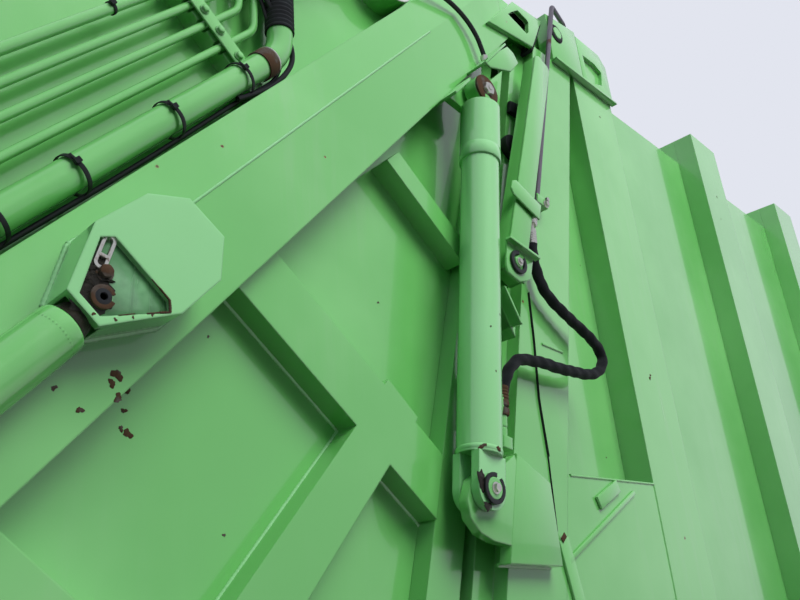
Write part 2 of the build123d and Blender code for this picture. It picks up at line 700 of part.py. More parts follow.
# Slide cylinders: the rod stays on the anchor, the barrel moves with the carriage
def slide_cylinders():
    start, end = on_slide(anchor_t, slide_n), on_slide(anchor_t - 1000, slide_n)
    closed = slide_head_gap + slide_barrel_length

    def bar(radius, first, last):
        return long_bar(start, end, slide_out, radius, first, last)

    rod = bar(slide_rod_r, anchor_pin_r + 8, closed - slide_foot - piston_room)
    rod += bar(slide_bore_r - 1, closed - slide_foot - piston_room - slide_piston,
               closed - slide_foot - piston_room)
    rod += cross_bar(start, anchor_eye_r, slide_out - anchor_eye_half, slide_out + anchor_eye_half)
    rod -= cross_bar(start, anchor_pin_r + hinge_fit, slide_out - 2 * anchor_eye_half,
                     slide_out + 2 * anchor_eye_half)
    keep_pair("slide_rods", rod)

    barrel = bar(slide_barrel_r, slide_head_gap, closed)
    barrel -= bar(slide_bore_r, slide_head_gap + slide_foot, closed - slide_foot)
    barrel -= bar(slide_rod_r + hinge_fit, slide_head_gap - 1, slide_head_gap + slide_foot + 1)
    keep_pair("slide_barrels", barrel)


# Carriage: closed box between two side arms, with lugs through the slots
def carriage():
    t0, n0 = slide_place(rest_hinge)
    low, high, out = carriage_low, carriage_high, carriage_out
    core = slide_block(t0 - 20, t0 + carriage_length, low, high, -out, out)
    core -= slide_block(t0 - 20 + carriage_skin, t0 + carriage_length - carriage_skin, low + carriage_skin,
                        high - carriage_skin, -out + carriage_skin, out - carriage_skin)
    keep("carriage", core)

    lug_t = anchor_t - slide_head_gap - slide_barrel_length - lug_half
    arm = slide_slab([(t0 - 60, n0 - 60), (t0 + 60, n0 - 60), (t0 + carriage_length, low),
                      (t0 + carriage_length, high), (t0 - 300, high + 70), (lug_t - 50, high + 70),
                      (lug_t - 50, slide_n - 50), (t0 - 200, low + 60)], out, out + arm_thick)
    lug = slide_block(lug_t - lug_half, lug_t + lug_half, slide_n - lug_half, slide_n + lug_half,
                      out + arm_thick, lug_out)
    arm -= cross_bar(rest_hinge, sweep_pin_r + hinge_fit, out - 1, out + arm_thick + 1)
    keep_pair("carriage_arms", arm + lug)


# Sweep panel, a tapered box on a tube
def sweep_panel():
    t0, n0 = slide_place(rest_hinge)
    tip = n0 - sweep_radius
    knee = n0 - panel_knee
    panel = slide_slab([(t0 + 50, n0), (t0 + 45, knee), (t0 + 10, tip), (t0 - 10, tip), (t0 - 60, knee),
                        (t0 - 50, n0)], -panel_out, panel_out)
    panel += cross_bar(rest_hinge, panel_hub_r, -panel_out, panel_out)
    skin = carriage_skin
    panel -= slide_slab([(t0 + 50 - skin, n0), (t0 + 45 - skin, knee), (t0 + 3, tip + 60), (t0 - 3, tip + 60),
                         (t0 - 60 + skin, knee), (t0 - 50 + skin, n0)], -panel_out + skin, panel_out - skin)
    for low, high in ((-carriage_out - arm_thick, -panel_out), (panel_out, carriage_out + arm_thick)):
        panel += cross_bar(rest_hinge, sweep_pin_r, low, high)
    keep("sweep_panel", panel)


# Pipes along the guide beam that turn up to a valve block, in two clamps
def gate_pipes():
    first, last = gate_pipe_span
    top = valve_block[2]
    pipes, clamps = [], []
    for n, radius in gate_pipe_rows:
        out = gate_side + radius + pipe_stand_off
        (x0, z0), (x1, z1) = on_slide(first, n), on_slide(last, n)
        bend = pipe_bend * radius
        pipes.append(bent_bar([(x0, -out, z0), (x1, -out, z1), (x1, -out, top)], radius, bend))
    keep_each_side("gate_pipes", *pipes)

    for t in (first + clamp_length, last - 3 * clamp_length):
        clamp = slide_block(t, t + clamp_length, gate_pipe_rows[0][0] - gate_pipe_rows[0][1] - clamp_wall,
                            gate_pipe_rows[-1][0] + gate_pipe_rows[-1][1] + clamp_wall, gate_side, clamp_out)
        for n, radius in gate_pipe_rows:
            start, end = on_slide(first, n), on_slide(last, n)
            out = gate_side + radius + pipe_stand_off
            clamp -= long_bar(start, end, out, radius + seat_gap, 0, last - first)
        clamps.append(clamp)
    keep_pair("pipe_clamps", *clamps)

    keep_pair("valve_blocks", block(*valve_block, valve_block[2] + valve_height, gate_side, valve_out))


# Round work lamps on the tailgate's side plates, above the guide beams
def work_lamps():
    centre = on_slide(*lamp_place)
    pot = cross_bar(centre, lamp_r, gate_side, lamp_out)
    pot -= cross_bar(centre, lamp_r - fold_sheet, lamp_out - lamp_recess, lamp_out + 1)
    keep_pair("work_lamps", pot)


# Hoods over the lift cylinders' upper eyes, with the inner cheeks
def lift_hoods():
    t0, n0 = slide_place(lift_high)
    seat = guide_low
    cheek = slide_slab([(t0 - 110, seat), (t0 - 60, n0 - 20), (t0 - 20, n0 - lift_eye_r),
                        (t0 + 30, n0 - lift_eye_r), (t0 + 70, n0 - 10), (t0 + 180, seat)], *hood_cheek)
    rise = seat + hood_rise
    top = slide_block(t0 + 40, t0 + 220, rise, rise + frame_steel, rib_face, hood_out)
    face = slide_slab([(t0 + 40, seat), (t0 + 166, seat), (t0 + 220, seat - 6), (t0 + 234, seat - 33),
                       (t0 + 225, seat - 67), (t0 + 150, seat - 69), (t0 + 48, seat - 17)],
                      hood_out, hood_out + frame_steel)
    face += slide_block(t0 + 40, t0 + 220, seat - 6, rise + frame_steel, hood_out, hood_out + frame_steel)
    keep_pair("lift_hoods", cheek, top + face)


# Pipe down the rear post, and the hose from its end to the lift cylinder
def post_pipes():
    points = [(x, -post_pipe_out, z) for x, z in post_pipe_points]
    points += [(post_pipe_end_x, -hinge_box_out + 2 * post_pipe_r, z) for z in (points[-1][2], hinge_box_top)]
    keep_pair("post_pipes", bent_bar(points, post_pipe_r, post_pipe_bend))


def hoses():
    corners = [Vector(*point) for point in hose_route]
    lines, start = [], corners[0]
    for before, corner, after in zip(corners, corners[1:], corners[2:]):
        back, ahead = before - corner, after - corner
        half_turn = (pi - radians(back.get_angle(ahead))) / 2
        radius = 0.45 * min(back.length, ahead.length) / tan(half_turn)
        trim = radius * tan(half_turn)
        enter, leave = corner + back.normalized() * trim, corner + ahead.normalized() * trim
        centre = corner + (back.normalized() + ahead.normalized()).normalized() * (radius / cos(half_turn))
        middle = centre + (corner - centre).normalized() * radius
        lines += [Line(start, enter), ThreePointArc(enter, middle, leave)]
        start = leave
    lines.append(Line(start, corners[-1]))
    path = Wire([edge for line in lines for edge in line.edges()])
    section = Plane(origin=path @ 0, z_dir=path % 0) * Circle(hose_r)
    keep_pair("lift_hoses", sweep(section, path=path))


# Ejector wall inside the body
def ejector():
    half = wall_in - ejector_gap
    plate = block(ejector_x, ejector_x + ejector_depth, floor_z + ejector_gap,
                  roof_z - header_drop - ejector_gap, -half, half)
    skin = carriage_skin
    plate -= block(ejector_x + skin, ejector_x + ejector_depth + 1, floor_z + ejector_gap + skin,
                   roof_z - header_drop - ejector_gap - skin, -half + skin, half - skin)
    for y in (-ejector_shoe_y, ejector_shoe_y):
        shoe = block(ejector_x, ejector_x + ejector_shoe_length, floor_z + seat_gap, floor_z + ejector_gap,
                     y - ejector_depth / 2, y + ejector_depth / 2)
        plate += shoe
    keep("ejector_wall", plate)


subframe()
fish_plates()
shell()
ribs()
rear_posts()
rear_frame()
hinge_corners()
lift_brackets()
closing_panels()
lift_cylinders()
safety_props()
tailgate_shell()
guide_beams()
side_braces()
hinge_arms()
anchor_brackets()
slide_cylinders()
carriage()
sweep_panel()
gate_pipes()
work_lamps()
lift_hoods()
post_pipes()
hoses()
ejector()

for name, solid in pieces.items():
    export_step(solid, f"parts/{name}.step")
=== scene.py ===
import math
from functools import partial
import bpy
import numpy as np
from mathutils import Matrix, Vector


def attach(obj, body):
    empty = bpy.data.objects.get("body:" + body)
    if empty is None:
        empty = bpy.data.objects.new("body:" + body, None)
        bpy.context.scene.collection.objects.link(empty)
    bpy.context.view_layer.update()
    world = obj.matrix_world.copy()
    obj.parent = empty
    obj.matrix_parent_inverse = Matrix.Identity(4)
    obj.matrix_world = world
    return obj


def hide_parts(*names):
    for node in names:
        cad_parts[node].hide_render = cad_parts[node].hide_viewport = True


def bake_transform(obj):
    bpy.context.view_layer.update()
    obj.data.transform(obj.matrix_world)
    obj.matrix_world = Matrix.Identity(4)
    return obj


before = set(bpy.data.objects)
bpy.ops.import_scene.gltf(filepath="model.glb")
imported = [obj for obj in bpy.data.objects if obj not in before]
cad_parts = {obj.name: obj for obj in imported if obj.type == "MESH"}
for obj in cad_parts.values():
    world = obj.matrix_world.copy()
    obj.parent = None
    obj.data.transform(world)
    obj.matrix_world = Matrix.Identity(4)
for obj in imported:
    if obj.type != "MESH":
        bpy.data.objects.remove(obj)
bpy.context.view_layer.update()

mm = 0.001      # lengths below are in millimetres, unless a note says otherwise
print("frame loaded,", len(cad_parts), "nodes")

# the photograph's view: where the camera stands and its three axes, looking up along the body's right side
viewpoint = {
    "place": (-3400, -2240, 570),
    "right": (0.70416, -0.70607, -0.07494),
    "down": (0.21667, 0.31419, -0.92431),
    "forward": (0.67618, 0.63462, 0.37422),
    "lens": 33.7,
    "sensor": 36,
    "reach": 80,        # in metres
}


def makeCamera(view):
    data = bpy.data.cameras.new("viewCamera")
    data.lens, data.sensor_width, data.clip_end = view["lens"], view["sensor"], view["reach"]
    camera = bpy.data.objects.new("viewCamera", data)
    right, down, forward = (Vector(view[key]) for key in ("right", "down", "forward"))
    turn = Matrix((right, -down, -forward)).transposed()
    camera.matrix_world = Matrix.Translation(Vector(view["place"]) * mm) @ turn.to_4x4()
    bpy.context.collection.objects.link(camera)
    bpy.context.scene.camera = camera


makeCamera(viewpoint)
print("camera set")


# each part of a piece below is (points as rows by columns by 3, faces, texture places for each face corner)
def unit(v):
    v = np.asarray(v, float)
    return v / np.linalg.norm(v, axis=-1, keepdims=True)


# angles round a full turn
def around(steps):
    return np.linspace(0, 2 * np.pi, steps, endpoint=False)


# two directions square to an axis and to each other
def squareTo(axis):
    side = unit(np.cross(axis, (0.31, 0.22, 0.93)))     # a direction that no axis here runs along
    return side, np.cross(axis, side)


# a grid of points made a surface: each row is a ring, and the rows may close on themselves, or else the ends get one
# face each. Texture places are the distances along and across
def surface(points, wrapRows=False):
    points = np.asarray(points, float)
    rows, columns = points.shape[:2]
    r = np.arange(rows if wrapRows else rows - 1)[:, None]
    c = np.arange(columns)[None, :]
    nextRow, nextColumn = (r + 1) % rows, (c + 1) % columns
    corners = [r * columns + c, r * columns + nextColumn, nextRow * columns + nextColumn, nextRow * columns + c]
    faces = np.stack(np.broadcast_arrays(*corners), axis=-1).reshape(-1, 4).tolist()
    along = np.concatenate([[0], np.cumsum(np.linalg.norm(np.diff(points.mean(axis=1), axis=0), axis=1))])
    ring = np.linalg.norm(np.diff(points[0], axis=0, append=points[0][:1]), axis=1)
    across = np.concatenate([[0], np.cumsum(ring)])
    along = np.append(along, along[-1] + (along[-1] / max(rows - 1, 1)))
    u = np.stack(np.broadcast_arrays(across[c], across[c + 1], across[c + 1], across[c]), axis=-1)
    v = np.stack(np.broadcast_arrays(along[r], along[r], along[r + 1], along[r + 1]), axis=-1)
    places = np.stack(np.broadcast_arrays(u, v), axis=-1).reshape(-1, 2)
    if not wrapRows:
        faces += [list(range(columns))[::-1], list(range((rows - 1) * columns, rows * columns))]
        places = np.concatenate([places, np.zeros((2 * columns, 2))])
    return points, faces, places


# outline of (distance along, radius) turned about an axis through a place
def turned(profile, place, axis, steps=40):
    axis = unit(axis)
    side, other = squareTo(axis)
    angle = around(steps)[:, None]
    ring = np.cos(angle) * side + np.sin(angle) * other
    profile = np.asarray(profile, float)
    return surface(np.asarray(place, float) + profile[:, 0, None, None] * axis + profile[:, 1, None, None] * ring)


# a closed outline carried along a path: outline = (a, b) laid along the reference direction and square to it,
# size = factor of the outline at each point of the path
def carried(outline, path, reference=(0, 1, 0), closed=False, size=None):
    path, outline = np.asarray(path, float), np.asarray(outline, float)
    if closed:
        ahead = np.roll(path, -1, axis=0) - np.roll(path, 1, axis=0)
    else:
        ahead = np.gradient(path, axis=0)
    ahead = unit(ahead)
    reference = np.asarray(reference, float)
    first = unit(reference - (ahead @ reference)[:, None] * ahead)
    second = np.cross(ahead, first)
    size = np.ones(len(path)) if size is None else size
    points = path[:, None] + size[:, None, None] * (
        outline[None, :, 0, None] * first[:, None] + outline[None, :, 1, None] * second[:, None])
    return surface(points, wrapRows=closed)


def circle(radius, steps=20):
    angle = around(steps)
    return np.stack([radius * np.cos(angle), radius * np.sin(angle)], axis=1)


# rectangle with rounded corners, width by height about its middle
def softBox(width, height, corner=1.0, steps=3):
    angle = np.concatenate([np.linspace(q, q + np.pi / 2, steps) for q in np.arange(4) * np.pi / 2])
    sign = np.repeat([[1, 1], [-1, 1], [-1, -1], [1, -1]], steps, axis=0)
    middle = sign * (np.array([width, height]) / 2 - corner)
    return middle + corner * np.stack([np.cos(angle), np.sin(angle)], axis=1)


# points of a polyline, set a step apart
def spaced(points, step):
    points = np.asarray(points, float)
    along = np.concatenate([[0], np.cumsum(np.linalg.norm(np.diff(points, axis=0), axis=1))])
    count = max(2, int(along[-1] / step) + 1)
    places = np.linspace(0, along[-1], count)
    return np.stack([np.interp(places, along, points[:, k]) for k in range(points.shape[1])], axis=1)


# every corner of an outline moved inwards, square to both of its edges
def inset(outline, distance):
    before = unit(outline - np.roll(outline, 1, axis=0))
    after = unit(np.roll(outline, -1, axis=0) - outline)
    left = np.stack([-before[:, 1], before[:, 0]], axis=1)
    right = np.stack([-after[:, 1], after[:, 0]], axis=1)
    share = 1 + np.sum(left * right, axis=1, keepdims=True)
    return outline + distance * (left + right) / np.maximum(share, 0.4)


# flat plate in a plane parallel to the side, from its outline of (x, z), with rounded edges;
# near and far are distances out from the centre plane
def plate(outline, near, far, edge=1.0):
    outline = np.asarray(outline, float)
    x, z = outline.T
    if np.sum(x * np.roll(z, -1) - np.roll(x, -1) * z) < 0:
        outline = outline[::-1]
    rows = [(near, edge), (near + edge, 0), (far - edge, 0), (far - edge * 0.3, edge * 0.3), (far, edge)]
    points = []
    for out, pull in rows:
        flat = inset(outline, pull)
        points.append(np.stack([flat[:, 0], np.full(len(flat), -out), flat[:, 1]], axis=1))
    return surface(points)


# hexagon head: its radius is half the width over the flats by the cosine of the angle from the nearest flat,
# and less at the chamfered top
def hexHead(place, axis, flats, height, washer=0.0):
    axis = unit(axis)
    side, other = squareTo(axis)
    angle = around(36)
    fold = (angle + np.pi / 6) % (np.pi / 3) - np.pi / 6
    hexagon = flats / 2 / np.cos(fold)
    ring = np.cos(angle)[:, None] * side + np.sin(angle)[:, None] * other
    rows = [(0, hexagon), (height * 0.8, hexagon), (height * 0.93, np.minimum(hexagon, flats * 0.53)),
            (height, np.full(len(angle), flats * 0.46))]
    place = np.asarray(place, float)
    points = [place + along * axis + radius[:, None] * ring for along, radius in rows]
    parts = [surface(points)]
    if washer:
        parts.append(turned([(-0.2, washer), (2.2, washer), (2.8, washer - 0.6), (2.8, flats * 0.3)], place, axis, 32))
    return parts


# weld bead: a round bar half sunk in the seam, whose size ripples with each droplet
def weldBead(points, radius):
    path = spaced(points, radius * 0.6)
    drop = np.arange(len(path))
    ripple = 1 + 0.13 * np.sin(drop * 1.9) + 0.06 * np.sin(drop * 0.37)
    return carried(circle(radius, 8), path, size=ripple)


# places given along and across the slide direction, and a distance out from the centre plane
slideAngle = math.radians(48)


def onSlide(t, n, out):
    c, s = math.cos(slideAngle), math.sin(slideAngle)
    return np.array([t * c - n * s, -out, t * s + n * c])


slideWay = onSlide(1, 0, 0)
slideUp = onSlide(0, 1, 0)
outwards = np.array([0, -1, 0])
anchorPin = (-1246, 2885)       # along and across the slide


# points in the side view, from points along and across the slide, which may be counted from a place on it
def slideFlat(points, start=(0, 0)):
    return [tuple(onSlide(start[0] + t, start[1] + n, 0)[[0, 2]]) for t, n in points]


# a ring or disc about an axis across the body, from (distance out from the centre plane, radius) pairs
def outward(profile, x, z, steps=36):
    return turned(profile, (x, 0, z), outwards, steps)


# points in the side view, from their distances to a pin
def fromPin(pin, points):
    return [(pin[0] + dx, pin[1] + dz) for dx, dz in points]


# mesh object from parts, on a body and in place of a CAD node; flip mirrors it to the left side
def addPiece(name, parts, material, body, slotName=None, flip=False, angle=40, node=None):
    points, faces, places, start = [], [], [], 0
    for grid, gridFacesList, gridPlaces in parts:
        flat = grid.reshape(-1, 3) * mm
        if flip:
            flat = flat * (1, -1, 1)
        points.append(flat)
        faces += [[start + k for k in (face[::-1] if flip else face)] for face in gridFacesList]
        if flip:
            ends = np.cumsum([len(face) for face in gridFacesList])[:-1]
            gridPlaces = np.concatenate([corners[::-1] for corners in np.split(gridPlaces, ends)])
        places.append(gridPlaces * mm)
        start += len(flat)
    mesh = bpy.data.meshes.new(name)
    mesh.from_pydata(np.concatenate(points).tolist(), [], faces)
    layer = mesh.uv_layers.new(name="alongAndAcross")
    layer.data.foreach_set("uv", np.concatenate(places).astype(np.float32).ravel())
    mesh.polygons.foreach_set("use_smooth", [True] * len(mesh.polygons))
    mesh.set_sharp_from_angle(angle=math.radians(angle))
    mesh.update()
    mesh.materials.append(material)
    piece = bpy.data.objects.new(name, mesh)
    bpy.context.collection.objects.link(piece)
    if body:
        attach(piece, body)
    if node:
        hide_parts(node)
    return piece


# the same piece on both sides; body and node may hold a {side}
def addBoth(name, parts, material, body, slotName=None, node=""):
    for side in ("right", "left"):
        addPiece(name + side.capitalize(), parts, material, body.format(side=side), slotName, side == "left",
                 node=node.format(side=side))


# sRGB hex to linear colour, times a factor
def colour(hexText, shade=1.0):
    values = [int(hexText[k:k + 2], 16) / 255 for k in (1, 3, 5)]
    return tuple(shade * (v / 12.92 if v <= 0.04045 else ((v + 0.055) / 1.055) ** 2.4) for v in values) + (1.0,)


# one node with its settings and links: plain values go to its inputs in order, capitalised names to the inputs that
# they name, and small ones to its settings. It gives the output asked for, or else the first
def addNode(tree, kind, *values, output=None, **named):
    node = tree.nodes.new("ShaderNode" + kind)
    for key in [key for key in named if key.islower()]:
        setattr(node, key, named.pop(key))
    pairs = list(zip([socket for socket in node.inputs if socket.enabled], values))
    pairs += [(node.inputs[key.replace("_", " ")], value) for key, value in named.items()]
    for socket, value in pairs:
        if isinstance(value, bpy.types.NodeSocket):
            tree.links.new(value, socket)
        else:
            socket.default_value = value
    return node.outputs[output] if output else next((socket for socket in node.outputs if socket.enabled), None)


# settings that many nodes share
smooth = {"interpolation_type": "SMOOTHSTEP"}
tints = {"data_type": "RGBA"}
grit = 0.55         # roughness of the noises


# a material from a function that makes its nodes and returns its surface's settings
def newMaterial(name, recipe, *values, **named):
    material = bpy.data.materials.new(name)
    material.use_nodes = True
    material.node_tree.nodes.clear()
    add = partial(addNode, material.node_tree)
    add("OutputMaterial", add("BsdfPrincipled", **recipe(add, *values, **named)))
    return material


paintLook = {
    "fresh": "#66B55D",       # the paint itself
    "faded": "#7CC573",       # sun-bleached patches
    "dust": "#9DB39A",        # film of road dust, in streaks that run down
    "rust": "#7A3F22",
    "rustDark": "#2B1610",
    "patch": 1.3,             # patches per metre
    "streak": 22.0,           # streaks per metre across
    "chipSpacing": 62.0,      # mm between places where a chip may be
}


# gloss enamel, sprayed on steel: orange peel about 4 mm across, sheets that wave a little, road dust in streaks,
# and chips down to rust. Returns the colour, roughness and normal
def paintCoat(add, look, chips, dirt):
    place = add("TexCoord", output="Object")
    patch = add("TexNoise", place, look["patch"], 4.0, grit)
    down = add("Mapping", place, Scale=(look["streak"], look["streak"], 1.6))
    streak = add("MapRange", add("TexNoise", down, 1.0, 5.0, grit), 0.48, 0.85, **smooth)
    bleached = add("MapRange", patch, 0.35, 0.7, **smooth)
    base = add("Mix", bleached, colour(look["fresh"]), colour(look["faded"]), **tints)
    film = add("Math", streak, add("MapRange", patch, 0.3, 0.75, **smooth), operation="MULTIPLY")
    film = add("Math", film, 0.5 * dirt, operation="MULTIPLY")
    dusty = add("Mix", film, base, colour(look["dust"]), **tints)
    # a chip is a cell of the pattern, where its colour and a wide noise allow one, and rust is darker at its heart
    cell = add("TexVoronoi", place, Scale=1000 / look["chipSpacing"], Randomness=1.0)
    lumps = add("TexNoise", place, 210.0, 2.0, grit)
    reach = add("Math", lumps, 0.09, cell, operation="MULTIPLY_ADD")
    few = add("Math", add("SeparateColor", cell.node.outputs["Color"]), 1 - 0.05 * chips, operation="GREATER_THAN")
    spread = add("MapRange", add("TexNoise", place, 0.9, 1.0, grit), 0.42, 0.52, **smooth)
    chosen = add("Math", few, spread, operation="MULTIPLY")
    spot = add("Math", add("MapRange", reach, 0.125, 0.10, **smooth), chosen, operation="MULTIPLY")
    heart = add("Math", add("MapRange", reach, 0.10, 0.07, **smooth), chosen, operation="MULTIPLY")
    rusty = add("Mix", spot, dusty, colour(look["rust"]), **tints)
    final = add("Mix", heart, rusty, colour(look["rustDark"]), **tints)
    rough = add("Math", film, 0.5, 0.2, operation="MULTIPLY_ADD")
    rough = add("Math", spot, 0.5, rough, operation="MULTIPLY_ADD", use_clamp=True)
    waves = add("TexNoise", place, 4.0, 1.0, grit)
    peel = add("TexNoise", place, 240.0, 1.0, grit)
    softEdge = add("Bevel", Radius=0.005, samples=4)
    sheetWave = add("Bump", Strength=0.3, Distance=0.004, Height=waves, Normal=softEdge)
    relief = add("Bump", Strength=0.05, Distance=0.0006, Height=peel, Normal=sheetWave)
    sunk = add("Bump", Strength=0.6, Distance=-0.001, Height=spot, Normal=relief)
    return final, rough, sunk


# the enamel alone: it gives the eye a wet highlight, a paler bloom in patches and small brown spots
def glossPaint(add, look, chips=0.5, dirt=0.5):
    tint, rough, normal = paintCoat(add, look, chips, dirt)
    return dict(Base_Color=tint, Roughness=rough, Normal=normal, Coat_Weight=0.8, Coat_Roughness=0.04)


# a part that is enamelled on one side of a limit and bare steel on the other; bare(add, place) gives the share of steel
def partPainted(add, bare, metal, roughness, scratch):
    tint, rough, normal = paintCoat(add, paintLook, 2.0, 1.0)
    place = add("TexCoord", output="Object")
    share = bare(add, place)
    lines = add("TexNoise", add("Mapping", place, Scale=scratch), 1.0, 4.0, grit)
    blotch = add("MapRange", add("TexNoise", place, 18.0, 5.0, grit), 0.55, 0.75, **smooth)
    steel = add("Mix", add("Math", lines, 0.5, operation="MULTIPLY"), colour(metal), colour("#5A5654"), **tints)
    steel = add("Mix", blotch, steel, colour("#6B442C"), **tints)
    final = add("Mix", share, tint, steel, **tints)
    steelRough = add("Math", lines, 0.25, roughness, operation="MULTIPLY_ADD")
    return dict(Base_Color=final, Roughness=add("Mix", share, rough, steelRough), Metallic=share, Normal=normal)


# share of steel where a surface looks towards the line that the sweep panel swings about
def insideTrough(add, place):
    sweepLine = (-2.959, 0, 0.672)
    towards = add("VectorMath", sweepLine, place, operation="SUBTRACT")
    facing = add("VectorMath", add("TexCoord", output="Normal"), towards, operation="DOT_PRODUCT")
    return add("MapRange", facing, 0.02, 0.05, **smooth)


# share of steel on surfaces that look up
def upperSide(add, place):
    facing = add("VectorMath", add("TexCoord", output="Normal"), (0, 0, 1), operation="DOT_PRODUCT")
    return add("MapRange", facing, 0.5, 0.7, **smooth)


# share of chrome below the painted head of a lift rod, in metres along the cylinder's axis
def belowHead(add, place):
    along = add("VectorMath", place, (0.182, 0, 0.9833), operation="DOT_PRODUCT")
    return add("MapRange", along, 1.482, 1.478, **smooth)


# steel parts: colour, scratches along one way, rust in blotches
def bareMetal(add, metal, rust, rustShare, roughness, scratch=(90, 90, 90), metallic=1.0):
    place = add("TexCoord", output="Object")
    lines = add("TexNoise", add("Mapping", place, Scale=scratch), 1.0, 4.0, grit)
    blotch = add("TexNoise", place, 22.0, 5.0, grit)
    grain = add("TexNoise", place, 300.0, 3.0, grit)
    rusty = add("MapRange", blotch, 0.72 - 0.45 * rustShare, 0.8 - 0.4 * rustShare, **smooth)
    shade = add("Mix", add("Math", lines, 0.5, operation="MULTIPLY"), colour(metal), colour(metal, 0.55), **tints)
    brown = add("Mix", grain, colour(rust), colour(rust, 0.4), **tints)
    clean = add("Math", 1.0, rusty, operation="SUBTRACT")
    rough = add("Math", rusty, 0.5, roughness, operation="MULTIPLY_ADD")
    rough = add("Math", lines, 0.2, rough, operation="MULTIPLY_ADD", use_clamp=True)
    return dict(Base_Color=add("Mix", rusty, shade, brown, **tints), Roughness=rough,
                Metallic=add("Math", clean, metallic, operation="MULTIPLY"),
                Normal=add("Bump", Strength=0.3, Distance=0.0008, Height=grain))


# scale of a wave pattern for bands of a width in mm: it runs 20 radians a metre, and a band is about half a turn
def bandScale(width):
    return 1000 / width / 20 * 3.2


# braided polyester sleeve over a hydraulic hose: strands 2.4 mm wide that cross at 45 degrees, dull, with a little dust
def braidedSleeve(add, yarn, dust, strand=2.4):
    place = add("TexCoord", output="Object")
    spreads = [add("Mapping", add("TexCoord", output="UV"), Rotation=(0, 0, math.radians(turn))) for turn in (45, -45)]
    weave = [add("TexWave", spread, bandScale(strand), 0.6, 1.0, output="Fac") for spread in spreads]
    crossed = add("Math", *weave, operation="MAXIMUM")
    lint = add("MapRange", add("TexNoise", place, 45.0, 6.0, grit), 0.5, 0.8, **smooth)
    tint = add("Mix", add("Math", lint, 0.5, operation="MULTIPLY"), colour(yarn), colour(dust), **tints)
    # the gaps between the strands are painted near black: painted shade
    shade = add("Mix", crossed, colour("#060708"), tint, **tints)
    fuzz = add("TexNoise", place, 900.0, 2.0, grit)
    lift = add("Bump", Strength=0.8, Distance=0.0009, Height=crossed)
    fur = add("Bump", Strength=0.5, Distance=0.0005, Height=fuzz, Normal=lift)
    return dict(Base_Color=shade, Roughness=0.78, Normal=fur, Sheen_Weight=0.05, Specular_IOR_Level=0.2,
                Sheen_Roughness=0.6)


# rubber and nylon, moulded or extruded, with a grey bloom and dust
def mouldedPlastic(add, body, bloom, roughness):
    place = add("TexCoord", output="Object")
    cloud = add("TexNoise", place, 14.0, 5.0, grit)
    grain = add("TexNoise", place, 700.0, 2.0, grit)
    bloomed = add("Math", add("MapRange", cloud, 0.4, 0.8, **smooth), 0.7, operation="MULTIPLY")
    return dict(Base_Color=add("Mix", bloomed, colour(body), colour(bloom), **tints), Specular_IOR_Level=0.3,
                Roughness=add("Math", cloud, 0.25, roughness, operation="MULTIPLY_ADD"),
                Normal=add("Bump", Strength=0.25, Distance=0.0004, Height=grain))


# bearing grease mixed with road dirt: nearly black, lumpy and wet
def oldGrease(add):
    lump = add("TexNoise", add("TexCoord", output="Object"), 90.0, 4.0, grit)
    return dict(Base_Color=add("Mix", lump, colour("#060605"), colour("#2E2A22"), **tints), Roughness=0.45,
                Normal=add("Bump", Strength=0.9, Distance=0.003, Height=lump), Specular_IOR_Level=0.25)


# pressed glass over a dark reflector: nearly black, smooth, with upright flutes 9 mm apart that catch the light; their
# paler stripes in the colour are painted highlights
def pressedGlass(add):
    flutes = add("TexWave", add("TexCoord", output="Object"), bandScale(9), output="Fac")
    return dict(Base_Color=add("Mix", flutes, colour("#12161A"), colour("#3A444C"), **tints), Roughness=0.07,
                Normal=add("Bump", Strength=0.4, Distance=0.001, Height=flutes), Coat_Weight=1.0)


# paler green that paints in the light falling on the anchor boxes, the lift barrels with their rims, and the weld beads
# on the tailgate: painted light
litLook = dict(paintLook, fresh="#86CC84", faded="#95D497")
dirtyLook = dict(paintLook, fresh="#4B7F50", faded="#6FA873", dust="#2E3A30", patch=14.0, streak=60.0)
greenPaint = newMaterial("glossEnamelGreen", glossPaint, paintLook)
greenPaintWorn = newMaterial("glossEnamelGreenChipped", glossPaint, paintLook, 2.5, 0.9)
greenPaintDirty = newMaterial("glossEnamelGreenDirty", glossPaint, dirtyLook, 3.0, 1.8)
greenPaintLit = newMaterial("glossEnamelGreenPaintedLight", glossPaint, litLook, 2.0, 0.4)
zincSteel = newMaterial("zincPlatedSteel", bareMetal, "#C9C7C0", "#7A4A2A", 0.25, 0.28)
rustySteel = newMaterial("rustedSteel", bareMetal, "#5A5048", "#57402F", 0.7, 0.5, metallic=0.5)
darkSteel = newMaterial("phosphatedSteel", bareMetal, "#26282A", "#3A2C22", 0.2, 0.4, metallic=0.5)
pipeSteel = newMaterial("phosphatedPipeSteel", bareMetal, "#6C6670", "#5A3A2C", 0.2, 0.32, metallic=0.6)
chromeRod = newMaterial("hardChromedSteel", bareMetal, "#D8D9DA", "#6A4A35", 0.02, 0.08, (60, 60, 60))
wornSteel = newMaterial("abradedPlateSteel", bareMetal, "#8A8886", "#6E5442", 0.14, 0.36, (8, 160, 160), 0.8)
hullSteel = newMaterial("enamelledSheetWornInside", partPainted, insideTrough, "#8A8886", 0.3, (8, 160, 160))
floorSteel = newMaterial("enamelledSheetWornAbove", partPainted, upperSide, "#8A8886", 0.3, (8, 160, 160))
rodSteel = newMaterial("chromedRodPaintedHead", partPainted, belowHead, "#D8D9DA", 0.06, (60, 60, 60))
sleeveBlack = newMaterial("braidedPolyesterSleeve", braidedSleeve, "#0B0E12", "#1B1F22")
rubberBlack = newMaterial("mouldedRubber", mouldedPlastic, "#0E1012", "#2A2E30", 0.55)
nylonBlack = newMaterial("mouldedNylon", mouldedPlastic, "#0A0C0E", "#1C2022", 0.4)
lampWhite = newMaterial("mouldedWhitePlastic", mouldedPlastic, "#DADCD8", "#AEB2AC", 0.3)
lampGlass = newMaterial("pressedGlassLens", pressedGlass)
grease = newMaterial("greaseWithDirt", oldGrease)
print("materials made")

